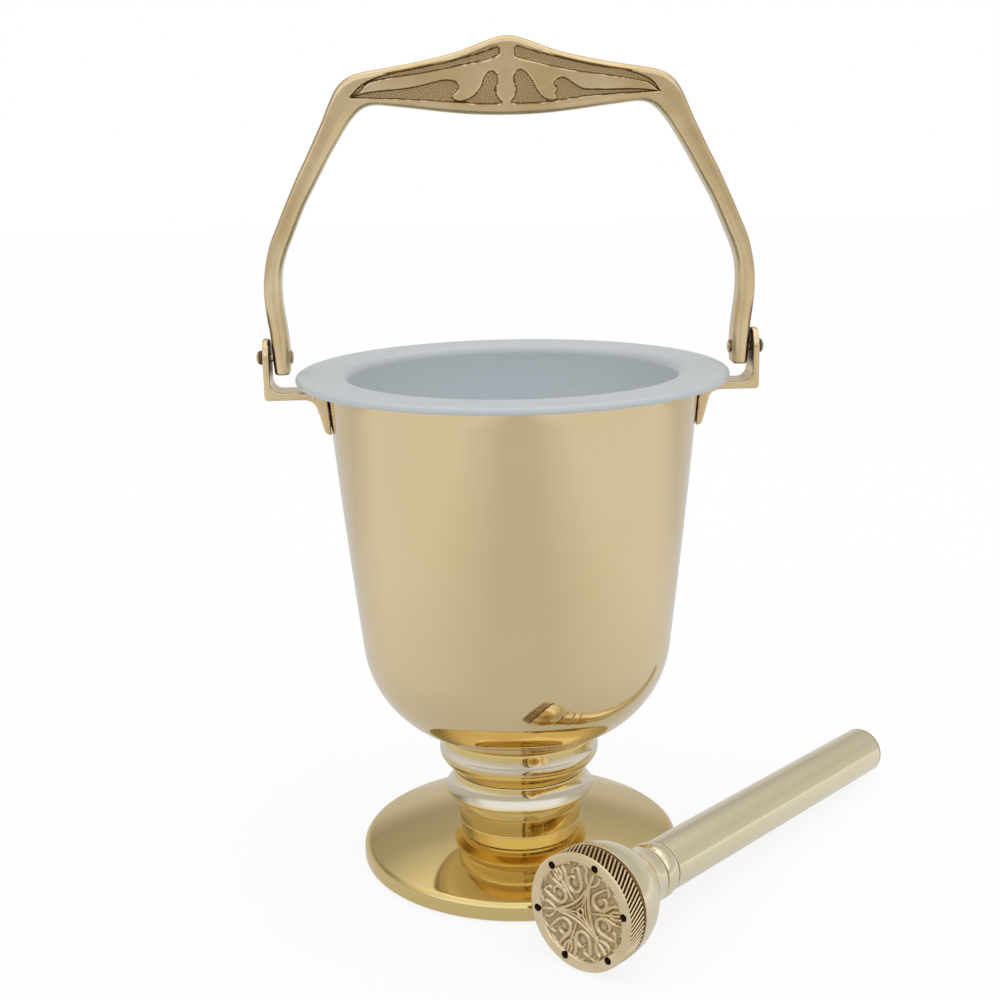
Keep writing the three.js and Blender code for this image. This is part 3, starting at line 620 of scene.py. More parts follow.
def grain_tree(material):
    """Low round grains scattered over a surface."""
    t = Tree("Pebbled ground", {"Spacing": 0.0008, "Radius": 0.0004, "Seed": 7})
    points = t.add("GeometryNodeDistributePointsOnFaces", {
        "Mesh": t.given("Geometry"), "Distance Min": t.given("Spacing"), "Density Max": 6e6,
        "Seed": t.given("Seed")}, out="Points", distribute_method="POISSON")
    grain = t.add("GeometryNodeMeshIcoSphere", {"Radius": t.given("Radius"), "Subdivisions": 1})
    size = t.add("FunctionNodeRandomValue", {
        "Min": (0.7, 0.7, 0.45), "Max": (1.15, 1.15, 0.8), "Seed": t.given("Seed")}, data_type="FLOAT_VECTOR")
    placed = t.add("GeometryNodeInstanceOnPoints", {
        "Points": points, "Instance": grain, "Rotation": points.node.outputs["Rotation"], "Scale": size})
    return t.close(placed, material)


def rib_tree(material):
    """Slanted round ribs standing round a rim."""
    t = Tree("Rim ribs", {"Count": 78, "Rim radius": 0.017, "Rib radius": 0.0004,
                          "Start": 0.0005, "Length": 0.006, "Slant": 0.18})
    steps = 8
    first = t.add("ShaderNodeCombineXYZ", {2: t.given("Start")})
    offset = t.add("ShaderNodeCombineXYZ", {2: t.math("DIVIDE", t.given("Length"), steps - 1.0)})
    line = t.add("GeometryNodeMeshLine", {"Count": steps, "Start Location": first, "Offset": offset})
    height = t.add("ShaderNodeSeparateXYZ", {0: t.add("GeometryNodeInputPosition")}, out=2)
    share = t.math("DIVIDE", t.math("SUBTRACT", height, t.given("Start")), t.given("Length"))
    spot = t.add("ShaderNodeCombineXYZ", {0: t.given("Rim radius"), 2: height})
    bent = t.rotated(spot, t.math("MULTIPLY", share, t.given("Slant")))
    line = t.add("GeometryNodeSetPosition", {"Geometry": line, "Position": bent})
    curve = t.add("GeometryNodeMeshToCurve", {0: line})
    outline = t.add("GeometryNodeCurvePrimitiveCircle", {"Resolution": 6, "Radius": t.given("Rib radius")})
    rib = t.add("GeometryNodeCurveToMesh", {"Curve": curve, "Profile Curve": outline, "Fill Caps": True})
    spots = t.add("GeometryNodePoints", {"Count": t.given("Count")})
    spin = t.add("ShaderNodeCombineXYZ", {2: t.angle_of_each()})
    placed = t.add("GeometryNodeInstanceOnPoints", {"Points": spots, "Instance": rib, "Rotation": spin})
    return t.close(placed, material)


def hole_tree(material):
    """Round holes: one in the middle and a ring of them, cut through the piece along Z."""
    t = Tree("Ring of holes", {"Count": 6, "Ring radius": 0.015, "Hole radius": 0.0011,
                               "Centre radius": 0.0006, "Phase": 0.0, "Depth": 0.006})
    drill = t.drill(28, "Hole radius", "Depth")
    middle = t.drill(20, "Centre radius", "Depth")
    spots = t.add("GeometryNodePoints", {"Count": t.given("Count")})
    spot = t.add("ShaderNodeCombineXYZ", {0: t.given("Ring radius")})
    spot = t.rotated(spot, t.math("ADD", t.angle_of_each(), t.given("Phase")))
    spots = t.add("GeometryNodeSetPosition", {"Geometry": spots, "Position": spot})
    ring = t.add("GeometryNodeInstanceOnPoints", {"Points": spots, "Instance": drill})
    ring = t.add("GeometryNodeRealizeInstances", {0: ring})
    both = t.tree.nodes.new("GeometryNodeJoinGeometry")
    for tool in (middle, ring):
        t.tree.links.new(tool, both.inputs[0])
    return t.cut(both.outputs[0], material)


def pin_hole_tree(material):
    """A hole straight through both legs along X."""
    t = Tree("Pin hole", {"Radius": 0.0016, "Length": 0.2, "Height": 0.16})
    lift = t.add("ShaderNodeCombineXYZ", {2: t.given("Height")})
    drill = t.drill(24, "Radius", "Length")
    lying = t.add("GeometryNodeTransform", {
        "Geometry": drill, "Translation": lift, "Rotation": (0.0, math.pi / 2, 0.0)})
    return t.cut(lying, material)


# Profiles of the pot

def foot_profile():
    """A disc with a rounded edge and a domed top, and the short neck."""
    inner = FOOT_NECK + FOOT_FILLET
    base = arc(FOOT_RADIUS - FOOT_BASE_ROUND, FOOT_BASE_ROUND, FOOT_BASE_ROUND, FOOT_BASE_ROUND, -90, 0, 8)
    edge = arc(FOOT_RADIUS - FOOT_EDGE_ROUND, FOOT_EDGE - FOOT_EDGE_ROUND, FOOT_EDGE_ROUND, FOOT_EDGE_ROUND,
               0, 72, 12)
    reach, low = edge[-1]
    dome = [(inner + (reach - inner) * t, FOOT_TOP - (FOOT_TOP - low) * t * (1 + t) / 2)
            for t in np.linspace(0.97, 0.01, 28)]
    return eased([
        (0.0, 0.0), *base, *edge, *dome,
        *arc(inner, FOOT_TOP + FOOT_FILLET, FOOT_FILLET, FOOT_FILLET, 270, 180, 8),
        (FOOT_NECK, FOOT_NECK_TOP - 0.25), (FOOT_NECK - 0.25, FOOT_NECK_TOP),
        (ROD_HOLE, FOOT_NECK_TOP), (ROD_HOLE, ROD_HOLE_FLOOR), (0.0, ROD_HOLE_FLOOR),
    ])


def collar_profile():
    """Lower ring: a plain band, a sharp lip, and a hollow slope up from it."""
    return eased([
        (ROD_HOLE, COLLAR_BASE), (20.2, COLLAR_BASE), (20.45, COLLAR_BASE + 0.25),
        (20.45, 21.2), (20.65, 21.5), (23.6, 22.65), (23.9, 22.85), (24.0, 23.15),
        *arc(27.228, COLLAR_TOP, 5.628, 7.813, 235, 182, 24), (21.45, COLLAR_TOP), (ROD_HOLE, COLLAR_TOP),
    ], longest=1.6)


def knop_profile():
    """Upper ring: leans out from its foot, then a plain face under a rounded top edge."""
    under = smooth_line([(21.65, 30.3), (21.95, 30.95), (22.7, 31.9), (23.7, 32.8),
                         (24.68, 33.8), (25.3, 34.7), (25.65, 35.7), (25.78, 36.83)], 5)
    face = smooth_line([(25.7, 37.7), (25.5, 38.5), (25.35, 39.5), (25.3, 41.2)], 4)
    return eased([
        (ROD_HOLE, KNOP_BASE), (21.5, KNOP_BASE), *map(tuple, under), *map(tuple, face),
        *arc(23.9, 41.8, 1.4, KNOP_TOP - 41.8, 0, 90, 10), (ROD_HOLE, KNOP_TOP),
    ], longest=3.0)


def bowl_outline(inset, steps):
    """The bowl's side, corner and underside from the rim down to the seat, moved in by inset."""
    lean, under = math.atan(BOWL_TAPER), math.radians(BOWL_UNDERSIDE)
    corner = BOWL_CORNER - inset
    rim = (BOWL_RIM - inset / math.cos(lean), BOWL_HEIGHT)
    seat = (BOWL_SEAT, inset / math.cos(under))
    # the corner's centre lies a corner's radius inside the side and inside the underside
    inward = np.array([(-math.cos(lean), math.sin(lean)), (-math.sin(under), math.cos(under))])
    centre = np.linalg.solve(inward, (inward * np.array([rim, seat])).sum(axis=1) + corner)
    side = BOWL_HEIGHT - (centre[1] - corner * math.sin(lean))
    points = []
    for share in np.arange(steps) / steps:
        radius = rim[0] - BOWL_TAPER * side * share + BOWL_SWELL * math.sin(math.pi * share)
        points.append((radius, BOWL_HEIGHT - side * share))
    points += arc(*centre, corner, corner, -math.degrees(lean), BOWL_UNDERSIDE - 90.0, 2 * steps)
    return points + [seat]


def bowl_profile():
    """Up the bowl's outside, round the lip, and down its inside to the floor."""
    outer = [(r, z + BOWL_BASE) for r, z in bowl_outline(0.0, 16)[:0:-1]]
    inner = [(r, z + BOWL_BASE) for r, z in bowl_outline(BOWL_WALL, 12)[1:-1]]
    nose = BOWL_WALL / 2
    lip = arc(BOWL_RIM - nose, BOWL_BASE + BOWL_HEIGHT - nose, nose, nose, 0, 180, 10)
    floor = BOWL_BASE + BOWL_WALL
    return [(ROD_HOLE, BOWL_BASE), *outer, *lip, *inner, (BOWL_SEAT - 0.4, floor), (ROD_HOLE, floor)]


def liner_profile():
    """Up the liner's inside from the middle of its floor, round the flange, and down its outside."""
    nose = (FLANGE_TOP - FLANGE_BASE) / 2
    side_top = FLANGE_TOP - LINER_MOUTH_ROUND

    def bucket(extra):
        corner, bottom = LINER_CORNER + extra, LINER_FLOOR - extra
        top = bottom + corner
        radius = LINER_MOUTH - LINER_TAPER * (side_top - top)
        return arc(radius + extra - corner, top, corner, corner, 0, -90, 20)

    return eased([
        (0.0, LINER_FLOOR), *bucket(0.0)[::-1],
        *arc(LINER_MOUTH + LINER_MOUTH_ROUND, side_top, LINER_MOUTH_ROUND, LINER_MOUTH_ROUND, 180, 90, 12),
        *arc(FLANGE_RADIUS - nose, FLANGE_TOP - nose, nose, nose, 90, -90, 14),
        (LINER_MOUTH + LINER_WALL + FLANGE_FILLET, FLANGE_BASE),
        (LINER_MOUTH + LINER_WALL, FLANGE_BASE - FLANGE_FILLET),
        *bucket(LINER_WALL), (0.0, LINER_FLOOR - LINER_WALL),
    ])


def rivet_profile():
    """The rivet along the line of the pivots: a low head inside, the shank, and a round head outside."""
    low_head, crown = 0.7, RIVET_OUTSIDE + 0.7
    return eased([
        (0.0, RIVET_INSIDE - low_head), *arc(0, RIVET_INSIDE, 2.1, low_head, -90, 0, 8)[1:],
        (PIN_RADIUS, RIVET_INSIDE), (PIN_RADIUS, RIVET_OUTSIDE), (RIVET_HEAD - 0.25, RIVET_OUTSIDE),
        (RIVET_HEAD, RIVET_OUTSIDE + 0.25), *arc(0, crown, RIVET_HEAD, 1.3, 0, 90, 10)[:-1],
        (0.0, crown + 1.3),
    ], longest=2.0)


# Profiles of the sprinkler, as radius and distance from its face

def head_profile():
    """The bell, its groove and the neck outside; the room for the sponge and the bore inside."""
    bell = smooth_line([(17.38, 8.15), (17.3, 9.2), (17.15, 10.8), (16.9, 12.4), (16.4, 14.3), (15.75, 16.2),
                        (14.85, 18.1), (13.7, 20.0), (12.5, 22.0), (11.3, 23.8), (10.75, 24.45)], 5)
    neck = smooth_line([(10.3, 25.35), (10.1, 26.1), (9.65, 27.4), (9.3, 28.8), (9.05, 30.4),
                        (8.85, 31.8)], 5)
    return eased([
        (13.2, 3.4), (16.2, 3.4), (16.2, 8.0), (17.1, 8.0), *map(tuple, bell),
        (10.2, 24.55), (9.75, 24.75), (9.7, 25.0), (9.95, 25.15), *map(tuple, neck),
        (8.5, 32.6), (8.1, 32.9), (5.2, 32.9), (5.2, 41.9), (3.2, 41.9), (3.2, 21.2), (6.6, 19.2),
        (13.2, 11.0),
    ], longest=2.5)


def ferrule_profile():
    """The rounded collar and its spigot in the tube."""
    return eased([
        (5.5, 33.2), (8.0, 33.2), (8.35, 33.45), (8.62, 34.1), (8.75, 35.2), (8.72, 36.4), (8.55, 37.6),
        (8.3, 38.7), (8.0, 39.3), (SPIGOT_RADIUS, 39.3), (SPIGOT_RADIUS, 47.3), (5.5, 47.3),
    ], longest=2.5)


def tube_profile():
    return eased([
        (TUBE_BORE, TUBE_START), (TUBE_RADIUS - 0.12, TUBE_START), (TUBE_RADIUS, TUBE_START + 0.12),
        (TUBE_RADIUS, TUBE_END - 0.1), (TUBE_RADIUS - 0.1, TUBE_END), (TUBE_BORE, TUBE_END),
    ], longest=2.5)


def plug_profile():
    """The handle's end with its rounded edge, and its spigot in the tube."""
    start, edge = TUBE_END + 0.3, 0.8
    return eased([
        (0.0, start - 8.0), (SPIGOT_RADIUS, start - 8.0), (SPIGOT_RADIUS, start), (TUBE_RADIUS - 0.1, start),
        (TUBE_RADIUS, start + 0.1), *arc(TUBE_RADIUS - edge, SPRINKLER_LENGTH - edge, edge, edge, 0, 90, 8),
        (0.0, SPRINKLER_LENGTH),
    ], longest=2.5)


# Bail

# Inner and outer edge of the right half, as x and height above the pivots, from the leg's end to the middle
BAIL_EDGES = [
    (67.75, -4.2, 72.3, -4.2), (67.6, -1.0, 72.6, -1.0), (67.65, 3.0, 72.85, 3.0), (67.95, 7.5, 73.1, 7.5),
    (68.5, 12.0, 73.7, 12.0), (69.0, 16.5, 74.2, 16.8), (69.1, 21.5, 74.2, 22.3), (68.6, 26.6, 73.4, 28.2),
    (67.2, 31.3, 71.9, 34.0), (65.2, 36.0, 69.6, 39.3), (63.2, 40.6, 67.4, 44.3), (61.1, 45.2, 65.0, 49.4),
    (58.6, 49.7, 62.5, 54.6), (56.0, 54.4, 59.9, 59.4), (53.4, 59.0, 57.5, 64.2), (50.7, 63.4, 55.0, 69.2),
    (48.0, 67.6, 52.8, 74.2), (45.6, 70.6, 50.7, 78.2), (43.4, 72.6, 48.6, 80.6), (41.2, 73.6, 46.1, 82.2),
    (39.0, 73.9, 43.2, 83.1), (36.6, 73.75, 39.6, 83.75), (33.6, 73.4, 35.4, 84.4), (28.0, 72.75, 28.8, 85.5),
    (21.0, 71.85, 21.2, 87.0), (14.0, 71.1, 14.1, 88.8), (9.4, 70.75, 9.4, 90.5), (6.0, 70.6, 6.0, 91.75),
    (3.0, 70.5, 3.0, 92.65), (1.2, 70.5, 1.2, 93.0), (0.0, 70.5, 0.0, 93.08),
]

# Hollows of the grip, as x and height above the pivots
SLOT_RIGHT = [
    (1.9, 89.6), (2.8, 90.2), (7.1, 88.9), (13.9, 87.1), (20.8, 85.4), (27.7, 84.0), (34.7, 82.9),
    (40.2, 81.1), (43.0, 79.3), (44.4, 77.4), (45.3, 76.2), (43.6, 77.2), (41.6, 78.7), (40.2, 79.3),
    (34.7, 80.4), (27.7, 81.5), (20.8, 82.5), (13.9, 83.8), (7.0, 85.6), (2.9, 86.6), (2.0, 87.4),
]
SLOT_LEFT = [
    (-2.3, 89.4), (-3.0, 90.0), (-7.1, 88.6), (-13.9, 86.8), (-20.8, 85.3), (-27.7, 84.0), (-34.7, 82.8),
    (-40.2, 81.1), (-43.4, 79.3), (-45.2, 77.6), (-46.6, 76.0), (-43.3, 77.5), (-41.8, 79.2), (-39.7, 80.4),
    (-34.2, 81.4), (-27.4, 82.3), (-20.5, 83.4), (-13.6, 84.7), (-6.7, 86.0), (-2.9, 87.3), (-2.3, 88.2),
]
POOL_RIGHT = [
    (45.1, 76.5), (43.0, 77.0), (37.5, 77.5), (30.5, 77.5), (22.9, 77.7), (20.8, 78.4), (18.7, 79.7),
    (17.0, 80.8), (15.3, 81.0), (13.9, 80.3), (13.2, 78.9), (14.2, 77.8), (13.6, 76.5), (14.2, 75.4),
    (13.0, 74.6), (10.4, 75.5), (8.7, 77.6), (7.0, 80.6), (5.3, 82.7), (3.6, 83.5), (2.2, 82.7),
    (1.6, 81.3), (1.8, 79.3), (2.2, 78.0), (1.8, 76.0), (0.8, 73.9), (6.9, 73.6), (13.8, 74.2),
    (22.9, 75.4), (34.7, 76.1),
]
POOL_LEFT = [
    (-46.6, 75.9), (-43.3, 77.2), (-37.8, 78.0), (-30.9, 78.5), (-25.4, 79.4), (-22.0, 80.2), (-18.5, 80.8),
    (-15.8, 80.5), (-14.5, 79.3), (-14.8, 77.5), (-16.3, 76.2), (-15.6, 75.2), (-13.8, 74.8), (-11.1, 75.7),
    (-9.3, 77.1), (-7.9, 79.1), (-7.2, 81.1), (-6.1, 82.7), (-4.4, 83.2), (-3.1, 82.0), (-2.9, 80.0),
    (-3.6, 78.0), (-3.1, 76.0), (-1.9, 73.9), (-6.9, 73.6), (-13.8, 74.1), (-24.0, 74.9), (-36.0, 75.6),
]


def bail_stations():
    """Inner and outer edge points all along the bail, from the right leg's end to the left one's."""
    half = np.array(BAIL_EDGES)
    other = half[::-1][1:] * np.array([-1, 1, -1, 1])
    fine = smooth_line(np.vstack([half, other]), 24)
    middle = (fine[:, :2] + fine[:, 2:]) / 2
    travel = travel_along(middle)
    spacing = np.where(np.abs(middle[:, 0]) < 50, 0.40, 0.95)
    ticks = np.concatenate([[0], np.cumsum(np.diff(travel) / spacing[1:])])
    wanted = np.linspace(0, ticks[-1], int(round(ticks[-1])) + 1)
    at = np.interp(wanted, ticks, travel)
    return np.column_stack([np.interp(at, travel, fine[:, k]) for k in range(4)])


def grip_hollow(points):
    """How deep the grip is hollowed at each point, from 0 to 1."""
    deep = np.zeros(len(points))
    for outline in (SLOT_RIGHT, SLOT_LEFT, POOL_RIGHT, POOL_LEFT):
        ring = smooth_line(outline + [outline[0]], 4)[:-1]
        deep = np.maximum(deep, soft_step((within(points, ring) + 0.08) / 0.5))
    return deep


def bail_section(edges, turn, depth):
    """One section of the bail, as a loop of x, height and y, and how much patina and painted shade each point
    has.

    At a leg's end, turn is the angle that the section has gone round the end's soft edge."""
    across, corner, flank = 54, 5, 4
    inner, outer = edges[:2], edges[2:]
    width = np.linalg.norm(outer - inner)
    chord = (outer - inner) / width
    reach, level = abs((inner[0] + outer[0]) / 2), (inner[1] + outer[1]) / 2
    grip = soft_step((52.0 - reach) / 8.0) * soft_step((level - GRIP_START) / 8)
    crown = 0.75 * (1 - grip) + 0.18 * grip
    pull = LEG_END_ROUND * (1 - math.cos(math.radians(turn)))
    inner, width, front = inner + chord * pull, width - 2 * pull, BAIL_HALF_DEPTH - pull
    round_by = max(0.35, 1.75 + 0.15 * grip - pull)
    spans = np.linspace(round_by, width - round_by, across)
    swell = crown * (2 * spans / width - 1) ** 2
    spots = inner + chord * spans[:, None]
    on_grip = inner[1] > GRIP_START
    deep = grip_hollow(spots) if on_grip and reach < 50 else np.zeros(across)
    heights = front - swell - deep * depth
    edge_y = swell[-1] - front

    def rounding(angles, base, way, side):
        return [(*(inner + chord * (base + way * round_by * math.sin(t))),
                 side * (edge_y + round_by * (1 - math.cos(t)))) for t in np.radians(angles)]

    up, down = np.linspace(0, 90, corner + 1)[1:], np.linspace(90, 0, corner + 1)[1:-1]
    edge_end = edge_y + round_by
    sides = np.linspace(edge_end, -edge_end, flank + 1)[1:]
    outer_edge = (rounding(up, width - round_by, 1, 1) + [(*(inner + chord * width), y) for y in sides]
                  + rounding(down, width - round_by, 1, -1))
    inner_edge = (rounding(up, round_by, -1, -1) + [(*inner, -y) for y in sides]
                  + rounding(down, round_by, -1, 1))
    loop = [(*s, -y) for s, y in zip(spots, heights)] + outer_edge
    loop += [(*s, y) for s, y in zip(spots[::-1], heights[::-1])] + inner_edge
    # patina on the floors of the grip's hollows, and painted shade, up to black, on their walls
    patina_and_shade = 0.69 * deep + 1.3 * np.exp(-((deep - 0.5) / 0.28) ** 2) * (deep > 0.02)
    # a thin line of painted shade under the upper edge, left of the middle
    painted_bevel_shade = np.exp(-((width - spans - 2.1) / 0.3) ** 2) * on_grip
    painted_bevel_shade = painted_bevel_shade * soft_step((-inner[0] - 1.0) / 4) * soft_step((inner[0] + 24.0) / 12)
    clean = [0.0] * len(outer_edge)
    return loop, [*np.maximum(patina_and_shade, painted_bevel_shade * 1.3), *clean, *patina_and_shade[::-1], *clean]


def bail_mesh(depth):
    """Points, faces and each point's patina and painted shade for the bail: one closed band of sections."""
    stations = bail_stations()
    ends = (80, 60, 40, 20)
    order = [(stations[0], turn) for turn in ends] + [(edges, 0) for edges in stations]
    order += [(stations[-1], turn) for turn in ends[::-1]]
    verts, dirt_and_shade, rows = [], [], []
    for edges, turn in order:
        loop, marks = bail_section(edges, turn, depth)
        lift = PIVOT_Z - LEG_END_ROUND * math.sin(math.radians(turn))
        rows.append(range(len(verts), len(verts) + len(loop)))
        verts += [(x, y, z + lift) for x, z, y in loop]
        dirt_and_shade += marks
    return verts, faces_between(rows) + [tuple(rows[0]), tuple(rows[-1])[::-1]], dirt_and_shade


# Cap ornament

# Strokes on one side of an arm of the ornament: turn from the arm in degrees, half width, height
# from 0 to 1, taper at the ends, and points as distance along the arm and aside from it
ARM_STROKES = (
    # scroll that starts in a pointed tip, runs down beside the arm and curls round
    (0, 0.5, 1.0, 0.25, [(10.9, 5.25), (10.1, 4.35), (8.9, 3.45), (7.5, 2.45), (6.0, 2.1), (4.7, 2.65),
                         (3.95, 3.9), (4.3, 5.3), (5.4, 6.25), (6.8, 6.3), (7.7, 5.5), (7.5, 4.6)]),
    (0, 0.36, 0.85, 0.3, [(10.9, 5.25), (9.9, 5.9), (9.0, 6.1), (8.5, 5.6)]),
    # petals beside the arm's end
    (0, 0.44, 0.95, 0.35, [(8.4, 0.5), (9.5, 1.55), (10.8, 2.1), (12.1, 1.9)]),
    (0, 0.3, 0.8, 0.2, [(11.9, 2.2), (12.5, 3.4), (12.0, 4.6), (10.9, 5.25)]),
    # leaves on both sides of the sector's middle
    (60, 0.5, 1.0, 0.4, [(7.6, -0.7), (9.0, -1.6), (10.6, -2.35), (12.3, -2.5)]),
    (60, 0.4, 0.95, 0.4, [(9.4, -0.5), (10.8, -1.0), (12.6, -0.95)]),
    (60, 0.3, 0.75, 0.25, [(12.3, -2.5), (12.6, -3.6), (12.0, -4.9), (11.4, -5.6)]),
    # boss inside the scroll
    (0, 1.0, 0.42, 0.0, [(6.15, 4.25), (6.35, 4.35)]),
)

# Straight strokes: turn from the arm, both ends as radii, half width, height, taper
ARM_SPOKES = (
    (0, 4.6, 8.8, 0.62, 1.0, 0.3), (0, 8.9, 12.4, 0.5, 1.0, 0.5), (60, 3.6, 12.9, 0.38, 0.95, 0.25),
    (0, 1.0, 4.2, 0.3, 0.9, 0.35),
)

# Bows from arm to arm: radius at the ends and at the pull, turn of an end from its arm, half width, height
ARM_BOWS = ((7.0, 1.75, 4, 0.42, 1.0), (4.9, 0.75, 3, 0.24, 0.85))
ORNAMENT_SCALE = 1.09


def polar(radius, degrees):
    return (radius * math.cos(math.radians(degrees)), radius * math.sin(math.radians(degrees)))


def bow(start, pull, end, steps=16):
    """A curve from start to end that leans towards the pull."""
    t = np.linspace(0, 1, steps + 1)[:, None]
    a, c, b = np.array([start, pull, end], float)
    return (1 - t) ** 2 * a + 2 * t * (1 - t) * c + t * t * b


def ornament_strokes():
    """Raised lines of the scroll ornament: points, half width, height from 0 to 1, taper at the ends."""
    strokes = []
    for arm in (HOLE_PHASE + turn for turn in (60, 180, 300)):
        for hand in (1, -1):
            for turn, half, top, taper, points in ARM_STROKES:
                c, s = polar(1.0, arm + turn * hand)
                line = [(x * c - hand * y * s, x * s + hand * y * c) for x, y in points]
                strokes.append((smooth_line(line, 4), half, top, taper))
        for turn, start, end, half, top, taper in ARM_SPOKES:
            strokes.append((np.array([polar(start, arm + turn), polar(end, arm + turn)]), half, top, taper))
        for reach, dip, turn, half, top in ARM_BOWS:
            line = bow(polar(reach, arm + turn), polar(dip, arm + 60), polar(reach, arm + 120 - turn))
            strokes.append((line, half, top, 0.1))
    middle = np.array([polar(0.95, turn) for turn in range(0, 361, 15)])
    return strokes + [(middle, 0.34, 0.9, 0.0)]


def ornament_height(points, strokes):
    """Height of the cap's face, 0 on the ground and 1 on the plain rim."""
    radius = np.hypot(points[:, 0], points[:, 1])
    turn = np.degrees(np.arctan2(points[:, 1], points[:, 0]))
    wave = 0.25 * np.cos(np.radians(6 * (turn - HOLE_PHASE))) + 0.08 * np.cos(np.radians(15 * turn + 40))
    rim = soft_step((radius - (13.85 - wave)) / 0.8)
    high = np.zeros(len(points))
    for line, half, top, taper in strokes:
        away, share = to_line(points / ORNAMENT_SCALE, line)
        ends = np.minimum(1.0, np.minimum(share, 1 - share) / taper) if taper > 0 else 1.0
        width = half * (0.45 + 0.55 * np.sqrt(np.clip(ends, 0, 1)))
        ridge = np.sqrt(np.clip(1 - (away / (width * 1.25)) ** 2, 0, 1))
        high = np.maximum(high, top * ridge)
    return np.maximum(rim, high * 0.93)


def cap_mesh(relief, sides=300):
    """Points, faces and recess of the cap: a thin cup whose face carries the ornament."""
    turns = np.linspace(0, 2 * math.pi, sides, endpoint=False)
    strokes = ornament_strokes()
    verts, recess, rows = [(0.0, 0.0, relief / MM * 0.6)], [0.5], [[0]]

    def ring(radius, heights, marks):
        rows.append(range(len(verts), len(verts) + sides))
        verts.extend(zip(radius * np.cos(turns), radius * np.sin(turns), heights))
        recess.extend(marks)

    for radius in (*np.arange(0.21, 14.8, 0.21), 15.2, 15.8, 16.3):
        # the sprinkler's own X axis runs against the direction in which the face is drawn
        high = ornament_height(np.column_stack([-radius * np.cos(turns), radius * np.sin(turns)]), strokes)
        # the ground keeps some patina, and painted shadow lines run along the foot of each stroke
        lines = np.exp(-((high - 0.16) / 0.16) ** 2)
        ring(radius, (1 - high) * relief / MM, np.clip(0.42 * (1 - high) + 0.75 * lines, 0, 1))
    flat, inside = np.zeros(sides), CAP_FACE + 0.6
    # radius, height and recess of the rounded edge, the rim under the ribs, and the cup's inside; a recess over
    # 1 is painted black shade between the ribs and in the cup
    for radius, height, mark in (
            (16.8, 0.02, 0), (17.15, 0.08, 0), (17.38, 0.2, 0), (17.47, 0.36, 0), (17.4, 0.5, 0.2),
            (RIM_VALLEY + 0.06, 0.58, 2), (RIM_VALLEY, 0.75, 2), (RIM_VALLEY, 2.2, 2), (RIM_VALLEY, 4.4, 2),
            (RIM_VALLEY, 6.5, 2), (RIM_VALLEY, 6.8, 1.5), (RIM_VALLEY - 0.1, CAP_LENGTH, 0.5),
            (CAP_BORE, CAP_LENGTH, 1), (CAP_BORE, 4.5, 2), (CAP_BORE, inside + 0.3, 2),
            (CAP_BORE - 0.3, inside, 2), (12.0, inside, 2), (6.0, inside, 2), (1.6, inside, 2)):
        ring(radius, flat + height, flat + mark)
    rows.append([len(verts)])
    verts.append((0.0, 0.0, inside))
    recess.append(2.0)
    return verts, faces_between(rows), recess


# Operators

def adopt(piece, body, slot, *nodes):
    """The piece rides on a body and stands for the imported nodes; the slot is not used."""
    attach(piece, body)
    if nodes:
        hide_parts(*nodes)


def turn_pieces(body, slot, material, sides, pieces, place=None):
    """Turned pieces of one finish, as name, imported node, profile and whether the profile closes on itself."""
    for name, node, profile, ring in pieces:
        adopt(turned(name, profile, sides, material, place, ring), body, slot, node)


def bail_brass():
    """The finish that the bail, the brackets and the rivets share."""
    colours = bpy.context.scene.pot_finish
    return bpy.data.materials.get("Cast brass") or cast_brass(
        "Cast brass", colours.cast, colours.patina_and_shade, colours.groove, 0.19, 0.000007)


class POT_OT_foot_and_stem(bpy.types.Operator):
    """Turns the foot and the two rings of the stem"""
    bl_idname = "pot.foot_and_stem"
    bl_label = "Foot and stem"

    def execute(self, context):
        colours = context.scene.pot_finish
        # painted highlights: the paler bands on the collar's slope and on the knop's face
        bands = [((COLLAR_BASE + 5.0) * MM, (COLLAR_BASE + 9.8) * MM, 0.75, colours.painted_highlight),
                 ((KNOP_BASE + 6.3) * MM, (KNOP_BASE + 10.3) * MM, 0.8, colours.painted_highlight)]
        brass = turned_brass("Polished stem brass", colours.gold, 0.07, 0.0000018, coat=0.3, bands=bands)
        turn_pieces("pot", "polished_brass", brass, context.scene.pot_shape.turned_sides, (
            ("foot_turned", "foot", foot_profile(), False),
            ("collar_turned", "stem_collar", collar_profile(), True),
            ("knop_turned", "stem_knop", knop_profile(), True)))
        return {"FINISHED"}


class POT_OT_bowl(bpy.types.Operator):
    """Spins the bowl, one wall all over"""
    bl_idname = "pot.bowl"
    bl_label = "Bowl"

    def execute(self, context):
        scene = context.scene
        brass = turned_brass("Bowl brass", scene.pot_finish.brass, 0.06, 0.0000012, coat=0.3)
        turn_pieces("pot", "satin_brass", brass, scene.pot_shape.turned_sides,
                    [("bowl_spun", "bowl", bowl_profile(), True)])
        return {"FINISHED"}


class POT_OT_liner(bpy.types.Operator):
    """Moulds the lift-out liner"""
    bl_idname = "pot.liner"
    bl_label = "Liner"

    def execute(self, context):
        scene = context.scene
        plastic = moulded_plastic("Liner plastic", scene.pot_finish.liner)
        turn_pieces("liner", "liner_plastic", plastic, scene.pot_shape.turned_sides,
                    [("liner_moulded", "liner", liner_profile(), False)])
        return {"FINISHED"}


